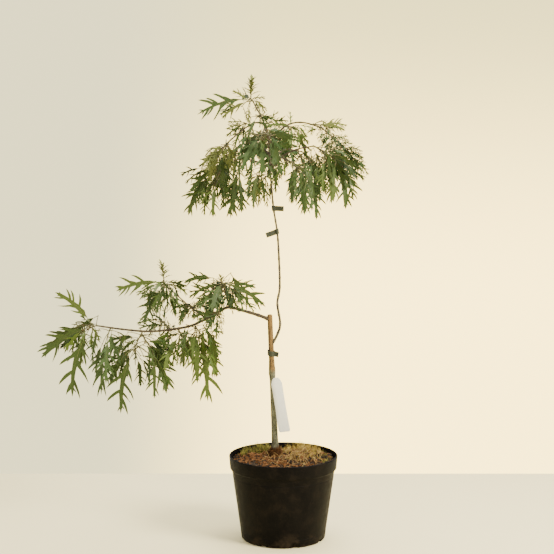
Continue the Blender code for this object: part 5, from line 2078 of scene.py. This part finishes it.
@dataclass
class Crown:
    """Every mass of foliage: its twigs, its leaves, finer twigs among them and its buds."""

    wood: Wood
    shape: LeafShape = field(default_factory=LeafShape)
    twig_sides: int = 8
    twig_spacing: float = 0.0025
    shoots_per_metre: float = 320.0
    lower_fullness: float = 1.7
    shoot_length: Pair = (0.16, 0.38)
    shoot_radii: Pair = (0.00085, 0.00055)
    small_leaf: Pair = (0.45, 0.85)
    least_leaf: float = 0.022
    tries: int = 3
    reach: float = 0.01
    bud_length: float = 0.003
    sprig_fullness: float = 2.2
    sprig_radii: Pair = (0.0013, 0.0007)
    stem_overlap: float = 0.0012
    seed: int = 401
    blades: dict[LeafTone, MeshBatch] = field(default_factory=dict)
    owners: dict[LeafTone, set[str]] = field(default_factory=dict)
    stalks: MeshBatch = field(default_factory=lambda: MeshBatch("leaf_stalks"))
    twigs: MeshBatch = field(default_factory=lambda: MeshBatch("twigs"))
    buds: MeshBatch = field(default_factory=lambda: MeshBatch("buds"))
    fixed: dict[str, BVHTree] = field(default_factory=dict)
    foliage: list[BVHTree] = field(default_factory=list)
    count: int = 0

    def tone_of(self, mass: Mass, index: int) -> LeafTone:
        """Tone of a spray's leaves: a few are set by name and the rest are dealt out by seed.

        Args:
            mass: The mass.
            index: Number of the spray.

        Returns:
            The tone.
        """
        named = {("leaves_front", 0): LeafTone.BLUISH, ("leaves_lower_inner", 0): LeafTone.FRESH,
                 ("leaves_lower_sprig", 0): LeafTone.FRESH, ("leaves_left_low", 1): LeafTone.FRESH,
                 ("leaves_lower_hanging", 0): LeafTone.BLUISH, ("leaves_lower_tip", 0): LeafTone.MATURE}
        if (mass.name, index) in named:
            return named[mass.name, index]
        pick = Random(mass.sprays[index].seed * 3 + 1).random()
        for tone in LeafTone:
            if pick < tone.value.share:
                return tone
            pick -= tone.value.share
        return LeafTone.MATURE

    def batch(self, tone: LeafTone, mass: str) -> MeshBatch:
        """Batch of a tone's leaves, which from now on stands for the mass too."""
        self.owners.setdefault(tone, set()).add(mass)
        return self.blades.setdefault(tone, MeshBatch("leaves_" + tone.name.lower()))

    def put_leaf(self, leaf: Leaf, tone: LeafTone, mass: str) -> None:
        """Add one leaf to the batch of its tone."""
        self.shape.build(leaf, self.batch(tone, mass), self.stalks, Random(leaf.seed + 3).random())
        self.count += 1

    def put_leaflet(self, path: Points, length: float, tint: float, mass: str) -> None:
        """Add one short young leaf: a toothed lens, folded along its rib.

        Args:
            path: Centre line of its rib.
            length: Its length.
            tint: Its own tint.
            mass: The mass that bears it.
        """
        verts, marks = [], []
        last = len(path) - 1
        for k, p in enumerate(path):
            share = k / last
            _, along = point_along(path, min(0.999, share))
            across = along.cross(UP).normalized()
            normal = across.cross(along)
            half = length * 0.17 * math.sin(math.pi * share ** 0.9) * (1.35 if k % 2 else 0.6)
            for side in (-1, 0, 1):
                verts.append(p + across * side * half + normal * abs(side) * half * 0.35)
                marks.append((1.0 - abs(side), tint, share))
        faces = [(a, a + 1, a + 4, a + 3) for k in range(last) for a in (3 * k, 3 * k + 1)]
        self.batch(LeafTone.YOUNG, mass).add(verts, faces, marks=marks)
        self.stalks.add(*tube(path[:5], taper(5, 0.0005, 0.0002), 5), tint)

    def put_twig(self, path: Points, radii: Pair, buds: bool = True) -> None:
        """Add one twig with its knots along a rough centre line, and buds at its end.

        Args:
            path: Its rough centre line.
            radii: Its radius at root and tip.
            buds: Whether it ends in buds.
        """
        fine = smooth_path(path, self.twig_spacing)
        knotted = [r * (1.0 + 0.18 * (i % 5 == 2)) for i, r in enumerate(taper(len(fine), *radii))]
        self.twigs.add(*tube(fine, knotted, self.twig_sides, pointed=True))
        if buds:
            along = (fine[-1] - fine[-2]).normalized()
            for k in range(3):
                spread = direction(120.0 * k + 30.0, 10.0) * (0.55 if k else 0.0)
                self.put_bud(fine[-1], (along + spread).normalized())

    def put_bud(self, root: Vector, along: Vector) -> None:
        """Add one pointed bud."""
        path = [root + along * self.bud_length * share for share in (0.0, 0.25, 0.55, 0.85)]
        radii = [self.bud_length * share for share in (0.16, 0.3, 0.26, 0.1)]
        self.buds.add(*tube(path, radii, 7, pointed=True))

    def note_fixed(self) -> None:
        """Note the search tree of everything that foliage has to miss, by name."""
        for name in ("pot", "soil", "trunk", "tie_upper", "tie_middle", "tie_low", "label"):
            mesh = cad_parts[name].data
            faces = [tuple(p.vertices) for p in mesh.polygons]
            self.fixed[name] = BVHTree.FromPolygons([v.co for v in mesh.vertices], faces)
        for name, (path, radii) in self.wood.paths.items():
            self.fixed[name] = search_tree(tube(path, [r + CLEAR for r in radii], LIMB_SIDES))

    def grow_mass(self, mass: Mass) -> None:
        """Grow one mass by the rule that the solids follow.

        Args:
            mass: The mass.
        """
        obstacles = [tree for name, tree in self.fixed.items() if name != mass.limb] + self.foliage
        twigs = mass_twigs(mass, self.wood.paths)
        socket = [twigs[0][0] - (twigs[0][1] - twigs[0][0]).normalized() * self.stem_overlap]
        own = []
        for i, twig in enumerate(twigs):
            radii = taper(len(twig), TWIG_RADIUS, TWIG_TIP_RADIUS)
            part = search_tree(tube(twig, radii, TWIG_SIDES, pointed=True))
            if i == 0 or not any(part.overlap(other) for other in obstacles):
                own.append(part)
                self.put_twig(twig if i else socket + twig, (TWIG_RADIUS, TWIG_TIP_RADIUS))
        siblings: list[BVHTree] = []
        obstacles.append(self.fixed[mass.limb])
        for index, (spray, twig) in enumerate(zip(mass.sprays, twigs)):
            tone = self.tone_of(mass, index)
            for wanted in spray_leaves(spray, twig):
                leaf = free_leaf(wanted, siblings, obstacles)
                if leaf:
                    siblings.append(search_tree(leaf_solid(leaf)))
                    self.put_leaf(leaf, tone, mass.name)
        if mass.name in SPRIGS:
            self.grow_sprig(SPRIGS[mass.name], twigs[0], mass.name)
        self.foliage += own + siblings

    def grow_sprig(self, sprig: Sprig, stem: Points, mass: str) -> None:
        """Grow a young upright shoot with short leaflets round it in a spiral.

        Args:
            sprig: The sprig.
            stem: The mass's stem.
            mass: Its mass.
        """
        draw = Random(sprig.seed)
        root, _ = point_along(stem, 0.85)
        shoot = bending_path(root, *sprig.heading, sprig.length, 4.0, 4)
        self.put_twig(shoot, self.sprig_radii, buds=False)
        count = round(sprig.leaflets * self.sprig_fullness)
        for i in range(count):
            share = 0.22 + 0.76 * i / (count - 1)
            at, _ = point_along(shoot, share)
            bearing = SPIRAL_TURN * i + draw.uniform(-12, 12)
            size = sprig.size * draw.uniform(1.15, 1.75) * (1.15 - 0.35 * share)
            path = bending_path(at, bearing, 24 + 46 * share, size, 30.0, 8)
            self.put_leaflet(path, size, draw.random(), mass)

    def finds_room(self, leaf: Leaf, low: Vector, high: Vector) -> bool:
        """Whether a small leaf stays between two corners and meets nothing. Its place is then taken.

        Args:
            leaf: The leaf.
            low: The lowest corner.
            high: The highest corner.

        Returns:
            True where it finds room.
        """
        body = leaf_solid(leaf, LEAF_CLEARANCE)
        if any(not a <= value <= b for v in body[0] for a, value, b in zip(low, v, high)):
            return False
        tree = search_tree(body)
        if any(tree.overlap(other) for other in self.fixed.values()):
            return False
        if any(crosses_blade(leaf, tree, other) for other in self.foliage):
            return False
        self.foliage.append(search_tree(leaf_solid(leaf)))
        return True

    def fill_mass(self, mass: Mass) -> None:
        """Set short finer shoots with small leaves along a mass's twigs, inside its own reach.

        Args:
            mass: The mass.
        """
        grown = Vector((self.reach,) * 3)
        low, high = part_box(mass.name)
        low, high = low - grown, high + grown
        draw = Random(self.seed + mass.sprays[0].seed)
        fullness = self.lower_fullness if mass.name.startswith("leaves_lower") else 1.0
        for index, (spray, twig) in enumerate(zip(mass.sprays, mass_twigs(mass, self.wood.paths))):
            tone = self.tone_of(mass, index)
            size = sum(spray.size) / 2
            for k in range(max(2, round(spray.length * self.shoots_per_metre * fullness))):
                root, _ = point_along(twig, draw.uniform(0.12, 1.0))
                for _ in range(self.tries):
                    bearing = draw.uniform(0, 360)
                    length = size * draw.uniform(*self.shoot_length)
                    shoot = bending_path(root, bearing, draw.uniform(-50, 45), length, 24.0, 3)
                    leaves = self.small_leaves(shoot[-1], bearing, size, spray.seed * 1000 + k * 10, draw)
                    kept = [leaf for leaf in leaves if self.finds_room(leaf, low, high)]
                    for leaf in kept:
                        self.put_leaf(leaf, tone, mass.name)
                    if kept:
                        self.put_twig(shoot, self.shoot_radii)

    def small_leaves(self, root: Vector, bearing: float, size: float, seed: int, draw: Random) -> list[Leaf]:
        """The three small leaves that are tried at a finer shoot's end.

        Args:
            root: The shoot's end.
            bearing: Its bearing.
            size: Middle length of its spray's leaves.
            seed: Seed of the first leaf.
            draw: The scatter.

        Returns:
            The leaves.
        """
        return [Leaf(root, bearing + (n - 1) * draw.uniform(35, 75), draw.uniform(-75, -5) + 12 * n,
                     max(self.least_leaf, size * draw.uniform(*self.small_leaf)),
                     draw.uniform(210, 330) + (180 if draw.random() < 0.35 else 0), seed + n)
                for n in range(3)]

    def build(self) -> None:
        """Grow all the foliage, dressed."""
        self.note_fixed()
        for mass in MASSES:
            self.grow_mass(mass)
        by_rule = self.count
        for mass in MASSES:
            self.fill_mass(mass)
        log.info("leaves: %d by the shared rule, %d small ones among them", by_rule, self.count - by_rule)
        for tone, batch in self.blades.items():
            dress(batch.build(tone.value.material(), ALL_SMOOTH), "foliage", *sorted(self.owners[tone]))
        dress(self.stalks.build(STALK_SKIN.material(), ALL_SMOOTH), "foliage")
        dress(self.twigs.build(TWIG_BARK.material(), ALL_SMOOTH), "foliage", *(mass.name for mass in MASSES))
        dress(self.buds.build(BUD_SCALE.material(), ALL_SMOOTH), "foliage")


# ---------------- studio

@dataclass
class Lamp:
    """A soft square light that looks at a point."""

    name: str
    place: tuple[float, float, float]
    size: float
    power: float
    colour: Colour
    aim: tuple[float, float, float] = (-0.1, 0.0, 0.45)

    def build(self) -> None:
        """Put the light in the scene."""
        light = bpy.data.lights.new(self.name, "AREA")
        light.shape = "SQUARE"
        light.size = self.size
        light.energy = self.power
        light.color = self.colour
        lamp = new_object(self.name, light)
        lamp.location = self.place
        lamp.rotation_euler = (Vector(self.aim) - Vector(self.place)).to_track_quat("-Z", "Y").to_euler()


@dataclass
class Studio:
    """Pale floor before a pale ground, soft light and the camera."""

    floor_back: float = 0.52
    floor_side: float = 4.0
    floor_front: float = 4.0
    floor_height: float = -0.0004
    eye: tuple[float, float, float] = (-0.0128, -3.006, 0.898)
    pitch: float = 6.89
    lens: float = 98.3
    wall_left: Colour = (2.05, 1.86, 1.02)
    wall_high: Colour = (2.55, 2.15, 0.9)
    wall_low: Colour = (6.6, 4.9, 1.55)
    ambient: Colour = (1.0, 0.95, 0.84)
    ambient_front: float = 0.26
    ambient_back: float = 1.4

    def floor(self) -> None:
        """Lay the floor under the pot's flat underside."""
        corners = [Vector((x, y, self.floor_height)) for y in (-self.floor_front, self.floor_back)
                   for x in (-self.floor_side, self.floor_side)]
        single("floor", (corners, [(0, 1, 3, 2)]), FLOOR_PAINT.material())

    def backdrop(self) -> None:
        """Show a pale wall with painted light on it, greyer to the left as painted shade and much brighter
        low down as painted light, and light the plant softly from it, least in front.
        """
        world = bpy.data.worlds.new("pale_wall")
        bpy.context.scene.world = world
        world.use_nodes = True
        g = Graph(world.node_tree)
        ground = world.node_tree.nodes["Background"]
        across, back, height = g.axes(g.node("ShaderNodeTexCoord").outputs["Generated"])
        # Painted light on the wall, seen by the camera only: much brighter low down, and greyer to the left
        # as painted shade.
        right = g.mix(g.span(height, 0.07, -0.14), self.wall_high, self.wall_low)
        wall = g.mix(g.span(across, -0.118, 0.024), self.wall_left, right)
        share = g.span(back, -0.6, 0.6, self.ambient_front, self.ambient_back)
        soft = g.node("ShaderNodeVectorMath", {0: self.ambient, 3: share}, operation="SCALE").outputs[0]
        seen = g.node("ShaderNodeLightPath").outputs["Is Camera Ray"]
        g.feed(ground.inputs["Color"], g.mix(seen, soft, wall))

    def camera(self) -> None:
        """Set the camera level with the crown, looking a little down."""
        lens = bpy.data.cameras.new("camera")
        lens.lens = self.lens
        lens.sensor_width = 36.0
        camera = new_object("camera", lens)
        camera.location = self.eye
        camera.rotation_euler = (math.radians(90.0 - self.pitch), 0.0, 0.0)
        bpy.context.scene.camera = camera

    def build(self) -> None:
        """Make the studio."""
        self.floor()
        self.backdrop()
        Lamp("key", (2.1, -1.6, 1.9), 1.1, 230.0, (1.0, 0.94, 0.82)).build()
        Lamp("fill", (-1.6, -2.4, 1.4), 1.8, 36.0, (1.0, 0.97, 0.92)).build()
        Lamp("top", (0.1, 0.4, 2.4), 1.8, 80.0, (1.0, 0.96, 0.88)).build()
        self.camera()


# ---------------- assembly


def main() -> None:
    """Build the plant from the pot upwards, then the studio."""
    logging.basicConfig(level=logging.INFO, format="%(name)s: %(message)s")
    NurseryPot().build()
    compost = Compost()
    compost.build()
    MossBed(compost).build()
    wood = Wood()
    wood.build()
    build_ties(wood.paths)
    BlankLabel().build()
    Crown(wood).build()
    Studio().build()


if __name__ == "__main__":
    main()
